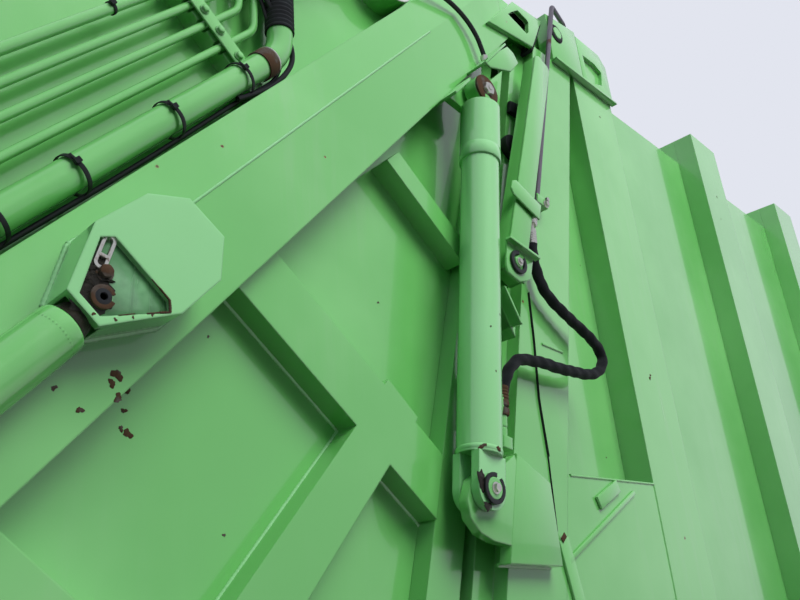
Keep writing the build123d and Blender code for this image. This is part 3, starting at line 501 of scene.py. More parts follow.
# hoses of the lift cylinders; they hang from the post's pipes to the cylinders' lower ends
liftHose = {
    "route": [
        (-1752, -1216, 1480), (-1768, -1220, 1365), (-1690, -1226, 1292), (-1570, -1234, 1240), (-1500, -1241, 1180),
        (-1560, -1242, 1112), (-1700, -1237, 1104), (-1860, -1229, 1114), (-1945, -1223, 1098), (-1990, -1221, 1012),
    ],
    "radius": 13.0,
    "sleeve": 1.6,              # how thick the sleeve is
    "wrinkle": 0.9,             # how far it puffs out
    "step": 4.0,                # between its rings of points
}


# smooth line of a route: a NURBS spline with the route's points as its control points, read back as points
def splineLine(points, steps):
    curve = bpy.data.curves.new("routeLine", "CURVE")
    curve.dimensions, curve.resolution_u = "3D", steps
    spline = curve.splines.new("NURBS")
    spline.points.add(len(points) - 1)
    spline.points.foreach_set("co", np.column_stack([np.array(points) * mm, np.ones(len(points))]).ravel())
    spline.order_u = 3
    spline.use_endpoint_u = True
    holder = bpy.data.objects.new("routeLine", curve)
    bpy.context.collection.objects.link(holder)
    line = bpy.data.meshes.new_from_object(holder)
    found = np.array([v.co for v in line.vertices]) / mm
    bpy.data.objects.remove(holder)
    bpy.data.meshes.remove(line)
    return found


def makeLiftHoses(look):
    path = spaced(splineLine(look["route"], 16), look["step"])
    angle = around(28)[None, :]
    s = np.arange(len(path))[:, None] * look["step"]
    # the sleeve lies in soft rings and long folds: radius = hose + small waves along and round it
    puff = look["wrinkle"] * (np.sin(s / 7.0 + 2 * np.sin(angle)) + 0.8 * np.sin(s / 19.0 + 3 * angle))
    ahead = unit(np.gradient(path, axis=0))
    side = unit(np.array([0, 1, 0]) - ahead[:, 1:2] * ahead)
    up = np.cross(ahead, side)
    radius = look["radius"] + look["sleeve"] + puff
    points = path[:, None] + radius[..., None] * (
        np.cos(angle)[..., None] * side[:, None] + np.sin(angle)[..., None] * up[:, None])
    for piece, body, flip in zip(("liftHoseRight", "liftHoseLeft"), ("right", "left"), (1, -1)):
        made = addPiece(piece, [surface(points)], sleeveBlack, None, "black_sleeve", flip < 0, 80)
        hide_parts("lift_hoses")
        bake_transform(made)


makeLiftHoses(liftHose)


# points in the side view, from distances along and square to a leaning line
def leaning(start, degrees):
    s, c = math.sin(math.radians(degrees)), math.cos(math.radians(degrees))
    return lambda points: [(start[0] + s * a + c * b, start[1] + c * a - s * b) for a, b in points]


# a mesh with the shape of other parts taken away; those lie on the right, so a piece on the left stays whole
def cutAway(piece, parts):
    tool = addPiece("cutter", parts, greenPaint, None)
    cut = piece.modifiers.new("cut", "BOOLEAN")
    cut.object, cut.operation, cut.solver = tool, "DIFFERENCE", "EXACT"
    bpy.context.view_layer.update()
    mesh = bpy.data.meshes.new_from_object(piece.evaluated_get(bpy.context.evaluated_depsgraph_get()))
    piece.modifiers.clear()
    piece.data = mesh
    mesh.set_sharp_from_angle(angle=math.radians(40))
    bpy.data.objects.remove(tool)


def fromHinge(points):
    return fromPin((-1337, 2470), points)


# boxes over the hinge and the first rib, each folded from sheet, with the pressed pocket of the front one
hingeCorner = {
    "bearing": [(-1390, 2330), (-1185, 2330), (-1185, 2567), (-1390, 2536)],
    "corner": [(-1184, 2330), (-970, 2330), (-970, 2505), (-1015, 2550), (-1184, 2550)],
    "pocket": fromHinge([(183, 2), (267, 5), (315, -14), (297, -85), (193, -120)]),
    "ledge": [(-1390, 2322), (-970, 2322), (-970, 2330), (-1390, 2330)],
    "gateCorner": fromHinge([(-443, -207), (-279, -23), (-103, -6), (-193, -171)]),
    "gateHole": fromHinge([(-320, -104), (-219, -129), (-205, -112), (-196, -66), (-206, -58), (-255, -48),
                           (-300, -84)]),
    "cheek": [(-1392, 2426), (-1282, 2426), (-1298, 2514), (-1376, 2514)],
}


def makeHingeCorners(look):
    bearing = [plate(look["bearing"], 1148, 1200, 4), plate(look["cheek"], 1070, 1090, 2),
               outward([(1068, 25), (1206, 25), (1208, 23)], *fromHinge([(0, 0)])[0], 32)]
    for side, flip in (("Right", False), ("Left", True)):
        common = ("green_paint", flip, 40)
        addPiece("hingeBearing" + side, bearing, greenPaint, "compactor_body", *common, "hinge_bearings")
        corner = [plate(look["corner"], 1102, 1200, 5)]
        box = addPiece("cornerBox" + side, corner, greenPaint, "compactor_body", *common, "corner_boxes")
        cutAway(box, [plate(look["pocket"], 1185, 1230, 0.5)])
        ledge = [plate(look["ledge"], 1190, 1214, 1)]
        addPiece("hingeLedge" + side, ledge, greenPaint, "compactor_body", *common, "hinge_ledges")
        gate = [plate(look["gateCorner"], 1186, 1205, 3)]
        gate = addPiece("gateCorner" + side, gate, greenPaint, "tailgate", *common)
        cutAway(gate, [plate(look["gateHole"], 1190, 1230, 0.5)])


makeHingeCorners(hingeCorner)

# safety prop, the plates and ledge that carry its pin, and the hooked bar that holds it against the post
safetyProp = {
    "pin": (-1898, 1361),
    "lean": 21.5,
    "back": -27, "front": 51, "foot": -30, "length": 905,
    "plate": [(-25, 50), (-50, 19), (-52, -28), (-34, -40), (42, -50), (64, 61), (-10, 61)],
    "ledge": [(42, -58), (64, 69), (56, 69), (34, -58)],
    "web": [(-10, 53), (64, 53), (64, 61), (-10, 61)],
    "wedge": [(-46, -69), (5, -161), (20, -185), (36, -99)],      # from the pin
    "clip": [(212, -49), (226, -63), (254, -63), (268, -49), (268, 69), (212, 69)],
    "clipWeb": [(218, 53), (262, 53), (262, 61), (218, 61)],
    # for each sheet its outline, its two distances out and its rounding
    "bracket": [("plate", 1150, 1158, 1.5), ("plate", 1248, 1256, 1.5), ("web", 1157, 1249, 1),
                ("ledge", 1255, 1274, 1)],
    "clips": [("clip", 1251, 1257, 1.5), ("clipWeb", 1150, 1252, 1)],
}


def makeProps(look):
    pin, lean = look["pin"], leaning(look["pin"], look["lean"])
    back, front, foot, end = look["back"], look["front"], look["foot"], look["length"]
    bar = lean([(foot, back), (foot, front), (end - 14, front), (end, front - 14), (end, back + 14), (end - 14, back)])
    channel = [plate(bar, 1238, 1246, 3)]
    channel += [plate(lean([(foot + 4, low), (foot + 4, low + 8), (end - 16, low + 8), (end - 16, low)]), 1198, 1240, 1)
                for low in (back + 0.5, front - 8.5)]
    closed = lean([(foot + 4, back + 4), (foot + 4, front - 4), (60, front - 4), (60, back + 4)])
    channel.append(plate(closed, 1198, 1239, 1))
    addBoth("safetyProp", channel, greenPaint, "prop_{side}", "green_paint", "safety_prop_{side}")
    wedge = fromPin(pin, look["wedge"])
    flange = wedge[:2] + fromPin((8, 0), wedge[1::-1])
    bracket = [plate(lean(look[key]), *sheet) for key, *sheet in look["bracket"]]
    bracket += [outward([(1157, 24), (1196, 24)], *pin, 32), outward([(1157, 16), (1262, 16), (1264, 14)], *pin, 32),
                plate(wedge, 1150, 1205, 2), plate(flange, 1150, 1238, 2)]
    addBoth("propBracket", bracket, greenPaint, "compactor_body", "green_paint", "prop_brackets")
    clips = [plate(lean(look[key]), *sheet) for key, *sheet in look["clips"]]
    addBoth("propClip", clips, greenPaint, "compactor_body", "green_paint", "prop_clips")


makeProps(safetyProp)

# box and lug that carry a lift cylinder's foot
liftBracket = {
    "pin": (-2106, 779),
    "box": [(61, -150), (258, -160), (256, 29), (135, 90)],
    "lug": [(100, -118), (16, -104), (-24, -88), (-53, -58), (-58, -20), (-36, 22), (0, 42), (54, 45), (128, 86),
            (150, 0)],
}


def makeLiftBrackets(look):
    pin = look["pin"]
    parts = [plate(fromPin(pin, look["box"]), 1190, 1228, 5), plate(fromPin(pin, look["lug"]), 1198, 1226, 3),
             outward([(1166, 23), (1168, 25), (1255.5, 25), (1257.5, 23)], *pin, 32)]
    addBoth("liftBracket", parts, greenPaintWorn, "compactor_body", "green_paint", "lift_brackets")


makeLiftBrackets(liftBracket)

# hoods over the lift cylinders' upper eyes: cheek behind the eye, folded cover in front, ear plate under the beam
liftHood = {
    "eye": (158.09, 2692.3),        # along and across the slide
    "seat": 2753,                   # the beam's underside, across the slide
    "cheek": [(-60, -20), (-20, -48), (30, -48), (70, -10)],        # from the eye
    "cover": [(40, 0), (166, 0), (220, -6), (234, -33), (225, -67), (150, -69), (48, -17)],
    "top": [(40, 0), (220, 0), (220, 7), (40, 7)],
    "ear": [(-164, -8), (-48, -8), (-48, 0), (-164, 0)],
}


def makeLiftHoods(look):
    t, n = look["eye"]
    seat = (t, look["seat"])
    cheek = slideFlat([(-110, 0)], seat) + slideFlat(look["cheek"], (t, n)) + slideFlat([(180, 0)], seat)
    cover, top, ear = (slideFlat(look[key], seat) for key in ("cover", "top", "ear"))
    parts = [plate(cheek, 1158, 1181, 2), plate(cover, 1254, 1262, 2.5), plate(top, 1190, 1262, 2),
             plate(ear, 1160, 1240, 2)]
    addBoth("liftHood", parts, greenPaint, "tailgate", "green_paint", "lift_hoods")


makeLiftHoods(liftHood)

# steel pipe down each rear post, from the top of the hinge box to the hose
postPipe = {
    "line": [(-1690, -1212, 1620), (-1354, -1212, 2580), (-1232, -1184, 2584), (-1228, -1182, 2562)],
    "radius": 9,
    "bend": 14,
}


# line with each inner corner rounded by an arc of points
def roundedLine(points, bend, steps=7):
    points = np.asarray(points, float)
    line = [points[:1]]
    for before, corner, after in zip(points[:-2], points[1:-1], points[2:]):
        back, ahead = unit(before - corner), unit(after - corner)
        share = np.linspace(0, 1, steps)[:, None]
        start, end = corner + back * bend, corner + ahead * bend
        line.append((1 - share) ** 2 * start + 2 * share * (1 - share) * corner + share ** 2 * end)
    return np.concatenate(line + [points[-1:]])


def makePostPipes(look):
    path = roundedLine(look["line"], look["bend"])
    pipe = [carried(circle(look["radius"], 16), path, (0, 1, 0.2))]
    addBoth("postPipe", pipe, pipeSteel, "compactor_body", "steel_grey", "post_pipes")


makePostPipes(postPipe)
print("folded sheet pieces made")

# ends of the hoses: crimped ferrules, hexagon nuts and the bare pipe that they join
hoseEnd = {
    "start": (-1752, -1216, 1480),
    "pipe": (-1690, -1212, 1620),
    "foot": (-1990, -1221, 1012),
    "down": (-0.182, 0, -0.983),
    "ferrule": [(-10, 12.5), (-9, 15.5), (-2, 16.5), (1, 15), (5, 16.5), (9, 15), (13, 16.5), (17, 15), (21, 16.5),
                (25, 15), (29, 16.5), (40, 16.5), (43, 13)],
    "saddle": [(-1692, 1630), (-1640, 1622), (-1632, 1652), (-1684, 1662)],      # it clamps the post's pipe
    "bolts": [((-1650, -1222, 1634), 15, 9, 12), ((-1644, -1222, 1650), 13, 8), ((-1556, -1190, 1975), 13, 8, 11)],
}


def makeHoseEnds(look):
    start, pipe, foot = (np.array(look[key], float) for key in ("start", "pipe", "foot"))
    along = unit((16, 4, 115))
    top = start + along * 40
    ahead = unit(pipe - top)
    parts = [turned(look["ferrule"], start, along, 28), carried(circle(9, 16), [top - ahead * 4, pipe + ahead * 6])]
    parts += hexHead(top + ahead * 22, ahead, 27, 20) + hexHead(top + ahead * 46, ahead, 24, 15)
    addBoth("hoseTopEnd", parts, zincSteel, "compactor_body")
    down = unit(look["down"])
    parts = [turned(look["ferrule"], foot - down * 4, down, 28)] + hexHead(foot + down * 42, down, 30, 18)
    addBoth("hoseFootEnd", parts, rustySteel, "lift_cylinder_{side}")
    addBoth("pipeSaddle", [plate(look["saddle"], 1188, 1222, 3)], greenPaint, "compactor_body")
    bolts = [part for place, *sizes in look["bolts"] for part in hexHead(place, outwards, *sizes)]
    addBoth("pipeSaddleBolts", bolts, zincSteel, "compactor_body")


makeHoseEnds(hoseEnd)

# what is clipped to the tailgate's pipes: ties, two cables, a sleeve, strips with bolts and a ring clamp
pipeFittings = {
    "bigPipe": (3068, 1150, 30),       # across the slide, out, radius
    "topPipe": (3294, 1131, 11),
    "bigTies": (-1560, -1237, -1070, -825, -595),
    "topTies": (-1290, -747),
    "cable": [(-1990, 3030), (-1700, 3026), (-1400, 3031), (-1226, 3030), (-962, 3026), (-700, 3030), (-595, 3031),
              (-540, 3027), (-487, 3028), (-432, 3052), (-396, 3102), (-383, 3151), (-352, 3200), (-330, 3290)],
    "secondCable": [(-640, 3034), (-560, 3018), (-476, 3022), (-410, 3040), (-372, 3088), (-366, 3162), (-345, 3230),
                    (-320, 3300)],
    "strip": [(-17, 3098), (17, 3098), (17, 3324), (-17, 3324)],
    "stripPlaces": (-1981, -545),
    "stripBolts": (3108, 3171, 3222, 3270, 3312),
}


# a strip of an outline bent round a pipe that runs along the slide
def hoop(t, n, out, radius, outline, steps=36):
    angle = around(steps)[:, None]
    ring = onSlide(t, n, out) + radius * (np.cos(angle) * slideUp + np.sin(angle) * outwards)
    return carried(outline, ring, slideWay, closed=True)


# a nylon tie round a pipe: a flat band in a ring, its square lock and its tail
def tie(t, n, out, radius, width=9):
    lock = onSlide(t, n, out) + (radius + 3) * unit(slideUp * 0.3 + outwards)
    head = carried(softBox(12, 10, 1.5), [lock - 4 * outwards, lock + 4 * outwards], slideWay)
    tail = carried(softBox(5, 1.5, 0.5), spaced([lock, lock + 16 * slideUp - 5 * outwards], 6), slideWay)
    return [hoop(t, n, out, radius + 1.2, softBox(width, 2.2, 0.8), 32), head, tail]


def slideCable(points, out, radius):
    line = splineLine([onSlide(t, n, out) for t, n in points], 12)
    return carried(circle(radius, 12), spaced(line, 6))


def makePipeFittings(look):
    n, out, r = look["bigPipe"]
    ties = [part for t in look["bigTies"] for part in tie(t, n - 3, out, r + 5)]
    ties += [part for t in look["topTies"] for part in tie(t, *look["topPipe"], 7)]
    addBoth("pipeTies", ties, nylonBlack, "tailgate")
    cables = [slideCable(look["cable"], 1142, 5), slideCable(look["secondCable"], 1156, 6)]
    addBoth("pipeCables", cables, nylonBlack, "tailgate")
    # ring clamp of rusty strip with a bright edge, beside the upper clamp
    addBoth("ringClamp", [hoop(-500, n, out, r + 1.6, softBox(36, 3))], rustySteel, "tailgate")
    addBoth("ringClampEdge", [hoop(-480, n, out, r + 2, softBox(4, 4))], zincSteel, "tailgate")
    strips = [plate(slideFlat(look["strip"], (t, 0)), 1140.5, 1145.5, 1) for t in look["stripPlaces"]]
    addBoth("clampStrips", strips, greenPaint, "tailgate")
    bolts = [part for t in look["stripPlaces"] for b in look["stripBolts"]
             for part in hexHead(onSlide(t, b, 1145.5), outwards, 15, 9, 11)]
    addBoth("clampBolts", bolts, greenPaintWorn, "tailgate")
    # the rise of the big pipe has a sleeve of ribbed hose over it, with ribs 12 mm apart
    x, z = onSlide(-430, n, 0)[[0, 2]]
    s = np.arange(0, 150, 3.0)
    sleeve = turned(np.stack([s, r + 3 + 1.2 * np.sin(s * 2 * np.pi / 12)], axis=1), (x, -out, z + 60), (0, 0, 1), 32)
    addBoth("riserSleeve", [sleeve], rubberBlack, "tailgate")


makePipeFittings(pipeFittings)

# cable to the hood, with its gland
hoodCable = {
    "route": [
        (-2500, -1140, 2010), (-2420, -1150, 2090), (-2330, -1165, 2160), (-2200, -1180, 2215), (-2080, -1195, 2232),
        (-1980, -1205, 2222), (-1915, -1209, 2195), (-1872, -1212, 2150), (-1855, -1213, 2105), (-1849, -1213, 2085),
    ],
    "radius": 7,
}


def makeHoodCable(look):
    line = splineLine(look["route"], 12)
    addBoth("hoodCable", [carried(circle(look["radius"], 14), spaced(line, 6))], nylonBlack, "tailgate")
    end, down = np.array(look["route"][-1], float), (0.1, 0, -1)
    gland = hexHead(end + (0, 0, -6), down, 22, 14) + [turned([(12, 8), (12, 12), (26, 12), (27, 10)], end, down, 24)]
    addBoth("hoodCableGland", gland, zincSteel, "tailgate")


makeHoodCable(hoodCable)

# pins, nuts and washers of the cylinders and the prop
pinGear = {
    "liftFoot": (-2106, 779), "liftHead": (-1895, 1919), "prop": (-1898, 1361), "hinge": (-1337, 2470),
    "anchor": (-2978, 1004.5),
    "lockPlate": (-2980, -1265, 1076),
}


# open ring: a bar bent round a pin with a gap, drawn from one angle to another
def openRing(x, z, out, radius, bar, first, last):
    angle = np.radians(np.linspace(first, last, 40))
    path = np.stack([x + radius * np.cos(angle), np.full(40, -out), z + radius * np.sin(angle)], axis=1)
    return carried(softBox(bar, bar * 1.6), path)


def makePinGear(look):
    x, z = look["liftFoot"]
    addBoth("liftFootRing", [openRing(x, z, 1255, 29, 6, 70, 400)], darkSteel, "compactor_body")
    addBoth("liftFootBolt", hexHead((x, -1257.5, z), outwards, 17, 10, 13), zincSteel, "compactor_body")
    x, z = look["liftHead"]
    washer = [outward([(1232.3, 28), (1232.3, 46), (1234, 47.5), (1239, 47.5), (1240, 46), (1240, 18)], x, z)]
    addBoth("liftHeadWasher", washer, rustySteel, "lift_piston_{side}")
    nut = hexHead((x, -1240, z), outwards, 36, 10) + [outward([(1240, 8), (1252, 8), (1253, 7)], x, z, 20)]
    addBoth("liftHeadNut", nut, zincSteel, "lift_piston_{side}")
    x, z = look["prop"]
    addBoth("propPinRing", [openRing(x, z, 1260, 27, 7, 80, 395)], darkSteel, "compactor_body")
    addBoth("propPinBolt", hexHead((x, -1264, z), outwards, 13, 7, 11), zincSteel, "compactor_body")
    x, z = look["hinge"]
    seal = [outward([(1200.3, 26), (1200.3, 38), (1203, 38), (1205, 35), (1205.5, 26)], x, z)]
    addBoth("hingePinSeal", seal, rubberBlack, "compactor_body")
    # lock plate, a long slot with round ends and a bar across it, its bolt and the pin's end of the slide cylinder
    x, z = look["anchor"]
    middle, way = np.array(look["lockPlate"]), unit((12, 0, 43))
    side = unit(np.cross(way, (0, 1, 0)))
    arc = np.radians(np.linspace(-8, 188, 16))[:, None]
    end = way * 19 + 8 * (np.cos(arc) * side + np.sin(arc) * way)
    bar = middle - way * 8
    rim = [carried(softBox(6.5, 6, 1.5), np.concatenate([middle + end, middle - end, middle + end[:2]])),
           carried(softBox(9, 6, 1.5), [bar - side * 8, bar + side * 8])]
    addBoth("lockPlate", rim, zincSteel, "tailgate")
    pinEnd = [outward([(1260, 13), (1269, 13), (1270.5, 11), (1270.5, 6), (1268, 5)], x, z)]
    addBoth("anchorPinEnd", pinEnd, darkSteel, "tailgate")
    addBoth("lockBolt", hexHead((-2977, -1262, 1044), outwards, 19, 12, 14), rustySteel, "tailgate")
    addBoth("anchorPinRing", [openRing(x, z, 1267, 15, 5, 20, 340)], rustySteel, "tailgate")


makePinGear(pinGear)


# lump of grease on a flat face: radius and height wander round a flattened dome
def lump(x, z, out, width, height, thick, seed):
    a = around(28)[None, :]
    b = np.linspace(0, 1, 7)[:, None]
    wander = 1 + 0.18 * np.sin(3 * a + seed) + 0.12 * np.sin(5 * a + 2.3 * seed) + 0.07 * np.sin(9 * a + seed * 1.7)
    reach = np.cos(b * np.pi / 2 * 0.97) * wander
    rise = thick * np.sin(b * np.pi / 2) * (1 + 0.15 * np.sin(4 * a + seed))
    x, z = x + width / 2 * reach * np.cos(a), z + height / 2 * reach * np.sin(a)
    return surface(np.stack([x, -(out - 0.5 + rise), z], axis=2))


greaseLumps = {
    "anchor": [(-2990, 1020, 1262, 50, 44, 4, 1), (-2984, 1048, 1262, 34, 40, 3, 2), (-2996, 988, 1262, 50, 30, 3, 3),
               (-2976, 1000, 1262, 30, 30, 2.5, 4), (-2996, 1074, 1262, 24, 60, 1.5, 8),
               (-3008, 1010, 1262, 30, 50, 2, 9)],
    "liftFoot": [(-2142, 795, 1250.5, 22, 46, 3, 6), (-2130, 742, 1250.5, 26, 18, 2.5, 7)],
}
# small clots round the pin and its bolt, placed by steps of the golden angle
clots = [(-2985 + 17 * math.cos(2.4 * k) * (0.5 + 0.03 * k), 1024 + 36 * math.sin(2.4 * k) * (0.5 + 0.03 * k), 1262.5,
          9 + 7 * (k % 3), 8 + 5 * (k % 4), 3 + k % 3, k) for k in range(18)]
addBoth("pinGrease", [lump(*row) for row in greaseLumps["anchor"] + clots], grease, "tailgate")
addBoth("liftFootGrease", [lump(*row) for row in greaseLumps["liftFoot"]], grease, "lift_cylinder_{side}")

# work lamps: a white rim and a domed lens
workLamp = {"place": (190, 3104), "out": 1165, "radius": 84}


def makeLamps(look):
    t, n = look["place"]
    x, z = onSlide(t, n, 0)[[0, 2]]
    out, r = look["out"], look["radius"]
    rim = [(-6, -10), (-2, -3), (0.5, -1), (2, -4), (1, -9), (-4, -13)]
    addBoth("lampRim", [outward([(out + a, r + b) for a, b in rim], x, z)], lampWhite, "tailgate")
    dome = np.linspace(0, np.pi / 2 * 0.98, 12)
    lens = np.stack([out - 20 + 16 * np.sin(dome), (r - 10) * np.cos(dome)], axis=1)
    addBoth("lampLens", [outward(np.concatenate([[(out - 24, r - 10)], lens]), x, z)], lampGlass, "tailgate")


makeLamps(workLamp)

# small sheet parts and rubber on the tailgate and the closing panel
smallParts = {
    "bentBracket": [(-1598, 789), (-1482, 839), (-1469, 807), (-1583, 757)],
    "tag": [(-1800, 684), (-1782, 698), (-1774, 688), (-1792, 674)],
    "strap": [(-1805, 678), (-1763, 690), (-1622, 62), (-1662, 62)],
    "rib": [(-1771.5, 638.4), (-1388.5, 815.4), (-1383.5, 804.6), (-1766.5, 627.6)],
    "stop": [(-1662, 2037), (-1608, 2045), (-1626, 1990), (-1675, 1990)],
    "buffer": (-1695, 1845),
}


def makeSmallParts(look):
    addBoth("bentBracket", [plate(look["bentBracket"], 1190, 1199, 2)], greenPaintWorn, "compactor_body")
    strap = [plate(look["strap"], 1190, 1198, 1.5), plate(look["rib"], 1190, 1197, 2)]
    addBoth("panelStrap", strap, greenPaint, "compactor_body")
    buffer = [outward([(1149, 40), (1162, 42), (1172, 40), (1178, 30), (1179, 10)], *look["buffer"]),
              plate(look["stop"], 1149, 1166, 4)]
    addBoth("rubberBuffers", buffer, rubberBlack, "compactor_body")
    addBoth("strapTag", [plate(look["tag"], 1198, 1201, 0.8)], rustySteel, "compactor_body")


makeSmallParts(smallParts)
print("fittings made")

# pipes on the tailgate's side plates: the thick one below and four thin ones, which turn up to the valve block
gatePipes = {
    "rows": [(3068, 1150, 30), (3144, 1129, 9), (3198, 1129, 9), (3246, 1129, 9), (3294, 1131, 11)],
    "ends": (-2050, -430),
    "top": 1962,
}


def makeGatePipes(look):
    first, last = look["ends"]
    parts = []
    for n, out, radius in look["rows"]:
        low, high = onSlide(first, n, out), onSlide(last, n, out)
        path = roundedLine([low, high, (high[0], -out, look["top"])], 2.6 * radius if radius < 20 else 52, 9)
        parts.append(carried(circle(radius, 28 if radius > 20 else 16), path))
    addBoth("gatePipes", parts, greenPaint, "tailgate", "green_paint", "gate_pipes_{side}")


makeGatePipes(gatePipes)

# port at the foot of a lift cylinder: screwed pipe down the barrel and its elbow
liftPort = {"top": (-1998.5, -1221, 966), "length": 68, "radius": 11.5}


def makeLiftPorts(look):
    down = unit((-0.182, 0, -0.983))
    top = np.array(look["top"], float)
    foot = top + down * look["length"]
    r = look["radius"]
    pipe = turned([(0, r), (40, r), (41, r - 1.5), (44, r - 1.5), (45, r), (look["length"], r)], top, down, 24)
    elbow = [carried(softBox(34, 36, 5), [foot - down * 2, foot + down * 26], (1, 0, 0)),
             carried(circle(14, 20), [foot + down * 12 + (2, 0, 0), foot + down * 12 + (-34, 6, 0)])]
    addBoth("liftPortPipe", [pipe] + elbow, greenPaintWorn, "lift_cylinder_{side}")


makeLiftPorts(liftPort)


# distance out of the guide beam's face: flat below its fold, then bevelled
def beamFace(n):
    return 1190 - 22 * max(0, n - 2918) / 99


# weld beads, black strips painted as the shadow along the post, and a rubber lip that also paints the shade in its gap
seams = {
    # round the anchor box, from its pin
    "boxRing": [(-38, -28), (-38, 38), (68, 92), (176, 84), (237, 41), (244, -42), (181, -92), (82, -91)],
    # fillets between the side plate and its braces: from, to and place across; two of them end at the plate's edge
    "braceTurn": -39.7,
    "braces": [(-2787, -2424, -1536), (-2787, -2424, -1405), (-2787, -2424, -833), (-2787, -2424, -702),
               (-2303, -2039, -833), (-2303, -2096, -702)],
    # fillets along the guide beam: place across the slide, from and to
    "beam": [(2385, -1400, -870), (2272, -2150, -910), (2385, -2150, -1640)],
    # rusty edge of the window and how thick each length of it is, from the pin
    "windowEdge": [(-4, -33), (18, -46), (34, -57), (52, -68), (66, -77.6), (73, -71), (79.6, -63), (79.6, -40),
                   (79, -22)],
    "windowRust": (1.1, 0, 1.4, 1.9, 2.3, 2.1, 1.6, 1.0),
    "window": [(-26, -17), (-26, 23), (57, 68), (77, 57), (79, -63), (66, -77)],
    # on the closing panel: two ends (x, z) and the radius
    "panel": [((-1700, 840), (-1250, 840), 3.5), ((-1250, 836), (-1250, 120), 3), ((-1739, 1188), (-1642, 1181), 4),
              ((-2045, 629), (-1848, 619), 5), ((-1848, 619), (-1850, 808), 4.5), ((-1850, 808), (-1971, 869), 4.5)],
    # line of the black strips painted along the post as the shadow of its cover plate's edge
    "post": [(-1770, 1330), (-1778, 1192), (-1796, 1025), (-1791, 880), (-1800, 700)],
    # black rubber lip in the gap at the tailgate's corner, which also stands for the shade in that gap
    "lip": fromHinge([(-103, -6), (-193, -171), (-181, -176), (-95, -12)]),
}


def makeSeams(look):
    t0, n0 = anchorPin
    ring = [onSlide(t0 + t, n0 + n, beamFace(n0 + n)) for t, n in look["boxRing"]]
    beads = [weldBead([a, b], 5) for a, b in zip(ring, ring[1:] + ring[:1])]
    beads.append(weldBead([onSlide(-1000, 2918, 1189.4), onSlide(150, 2918, 1189.4)], 3.2))
    c, s = math.cos(math.radians(look["braceTurn"])), math.sin(math.radians(look["braceTurn"]))
    for first, last, m in look["braces"]:
        beads.append(weldBead([(a * c - m * s, -1090.5, a * s + m * c) for a in (first, last)], 4))
    beads += [weldBead([onSlide(t, n, 1090.5) for t in ends], 4) for n, *ends in look["beam"]]
    # the beads take the paler green, a painted highlight along them
    addBoth("guideBeads", beads, greenPaintLit, "tailgate")
    edge = [onSlide(t0 + t, n0 + n, 1271.6) for t, n in look["windowEdge"]]
    rust = [weldBead(edge[k:k + 2], width) for k, width in enumerate(look["windowRust"]) if width]
    addBoth("windowRust", rust, rustySteel, "tailgate")
    window = [plate(slideFlat(look["window"], anchorPin), 1261.6, 1262.5, 0.3)]
    addBoth("windowDirt", window, greenPaintDirty, "tailgate")
    panel = [weldBead([(x, -1190, z) for x, z in ends], radius) for *ends, radius in look["panel"]]
    addBoth("panelBeads", panel, greenPaint, "compactor_body")
    # black strips along the post, standing for the shadow that the edge of its cover plate casts: painted shadow
    line = [(x, -1190.4, z) for x, z in look["post"]]
    edgeShadow = [carried(softBox(width, thick, thick * 0.45), spaced(line[:count], 30))
            for width, thick, count in ((8, 1.6, 5), (13, 1.5, 4))]
    addBoth("postEdgeShadow", edgeShadow, rubberBlack, "compactor_body")
    # the lip is rubber and also paints the shade in its gap: partly painted shade
    addBoth("gateLipAndShade", [plate(look["lip"], 1120, 1196, 2)], rubberBlack, "tailgate")


makeSeams(seams)

# rounded rim of the lift barrel's closed end, the collar at the other one, and spots of rust
liftFoot = {
    "pin": (-2106, -1212, 779), "way": (211, 0, 1140), "start": 76, "radius": 52,
    # pairs of distance along and height over the barrel
    "rim": [(0.5, -8), (1, -3), (3, -0.6), (7, 1.3), (12, 1.4), (15, 0.1), (15, -1)],
    "collar": [(821, -2), (821, 4), (822.5, 5.2), (863, 5.2), (865, 4), (865, -2)],
    # degrees round the barrel, distance along, size and seed of the shape
    "spots": [(-92, 9, 6, 1), (-52, 10, 4.5, 2), (-44, 5, 5.5, 3), (-70, 300, 2.5, 4), (-86, 190, 2.2, 5),
              (-108, 345, 2.5, 6)],
}


def makeLiftRims(look):
    way, r = unit(look["way"]), look["radius"]
    start = np.array(look["pin"]) + way * look["start"]
    rims = [turned([(along, r + over) for along, over in look[key]], start, way, 56) for key in ("rim", "collar")]
    # the rim and collar take the barrel's paler green, as painted light
    addBoth("liftBarrelRim", rims, greenPaintLit, "lift_cylinder_{side}")
    across = unit(np.cross(way, (0, 1, 0)))
    spots = []
    for turn, along, size, seed in look["spots"]:
        out = math.cos(math.radians(turn)) * across + math.sin(math.radians(turn)) * np.array([0, 1, 0])
        a = around(18)[:, None]
        side = unit(np.cross(out, way))
        reach = size * (1 + 0.25 * np.sin(2 * a + seed) + 0.18 * np.sin(5 * a + seed))
        middle = start + way * along + out * (r + (1.4 if along < 15 else 0))       # the first lie on the rim
        outline = reach * (np.cos(a) * side + np.sin(a) * way)
        rows = [middle + outline * f + out * h for f, h in ((1, -0.9), (1, 0.1), (0.8, 0.5), (0.3, 0.7))]
        spots.append(surface(np.array(rows)))
    addBoth("liftBarrelRust", spots, rustySteel, "lift_cylinder_{side}")


makeLiftRims(liftFoot)

# gland at the open end of each slide barrel, packed with black grease
slideGland = {"start": -1308, "axis": 2885, "out": 1236}


def makeSlideGlands(look):
    start = onSlide(look["start"], look["axis"], look["out"])
    gland = [turned([(-2, 24), (-2, 36), (0, 39), (3, 40), (24, 40)], start, -slideWay, 40)]
    addBoth("slideGland", gland, greenPaintWorn, "carriage")
    packing = [turned([(-30, 20.5), (-26, 27), (-12, 30), (-5, 33), (-2.2, 30)], start, -slideWay, 32)]
    addBoth("slideGlandGrease", packing, grease, "carriage")


makeSlideGlands(slideGland)
print("pipes, ports and seams made")


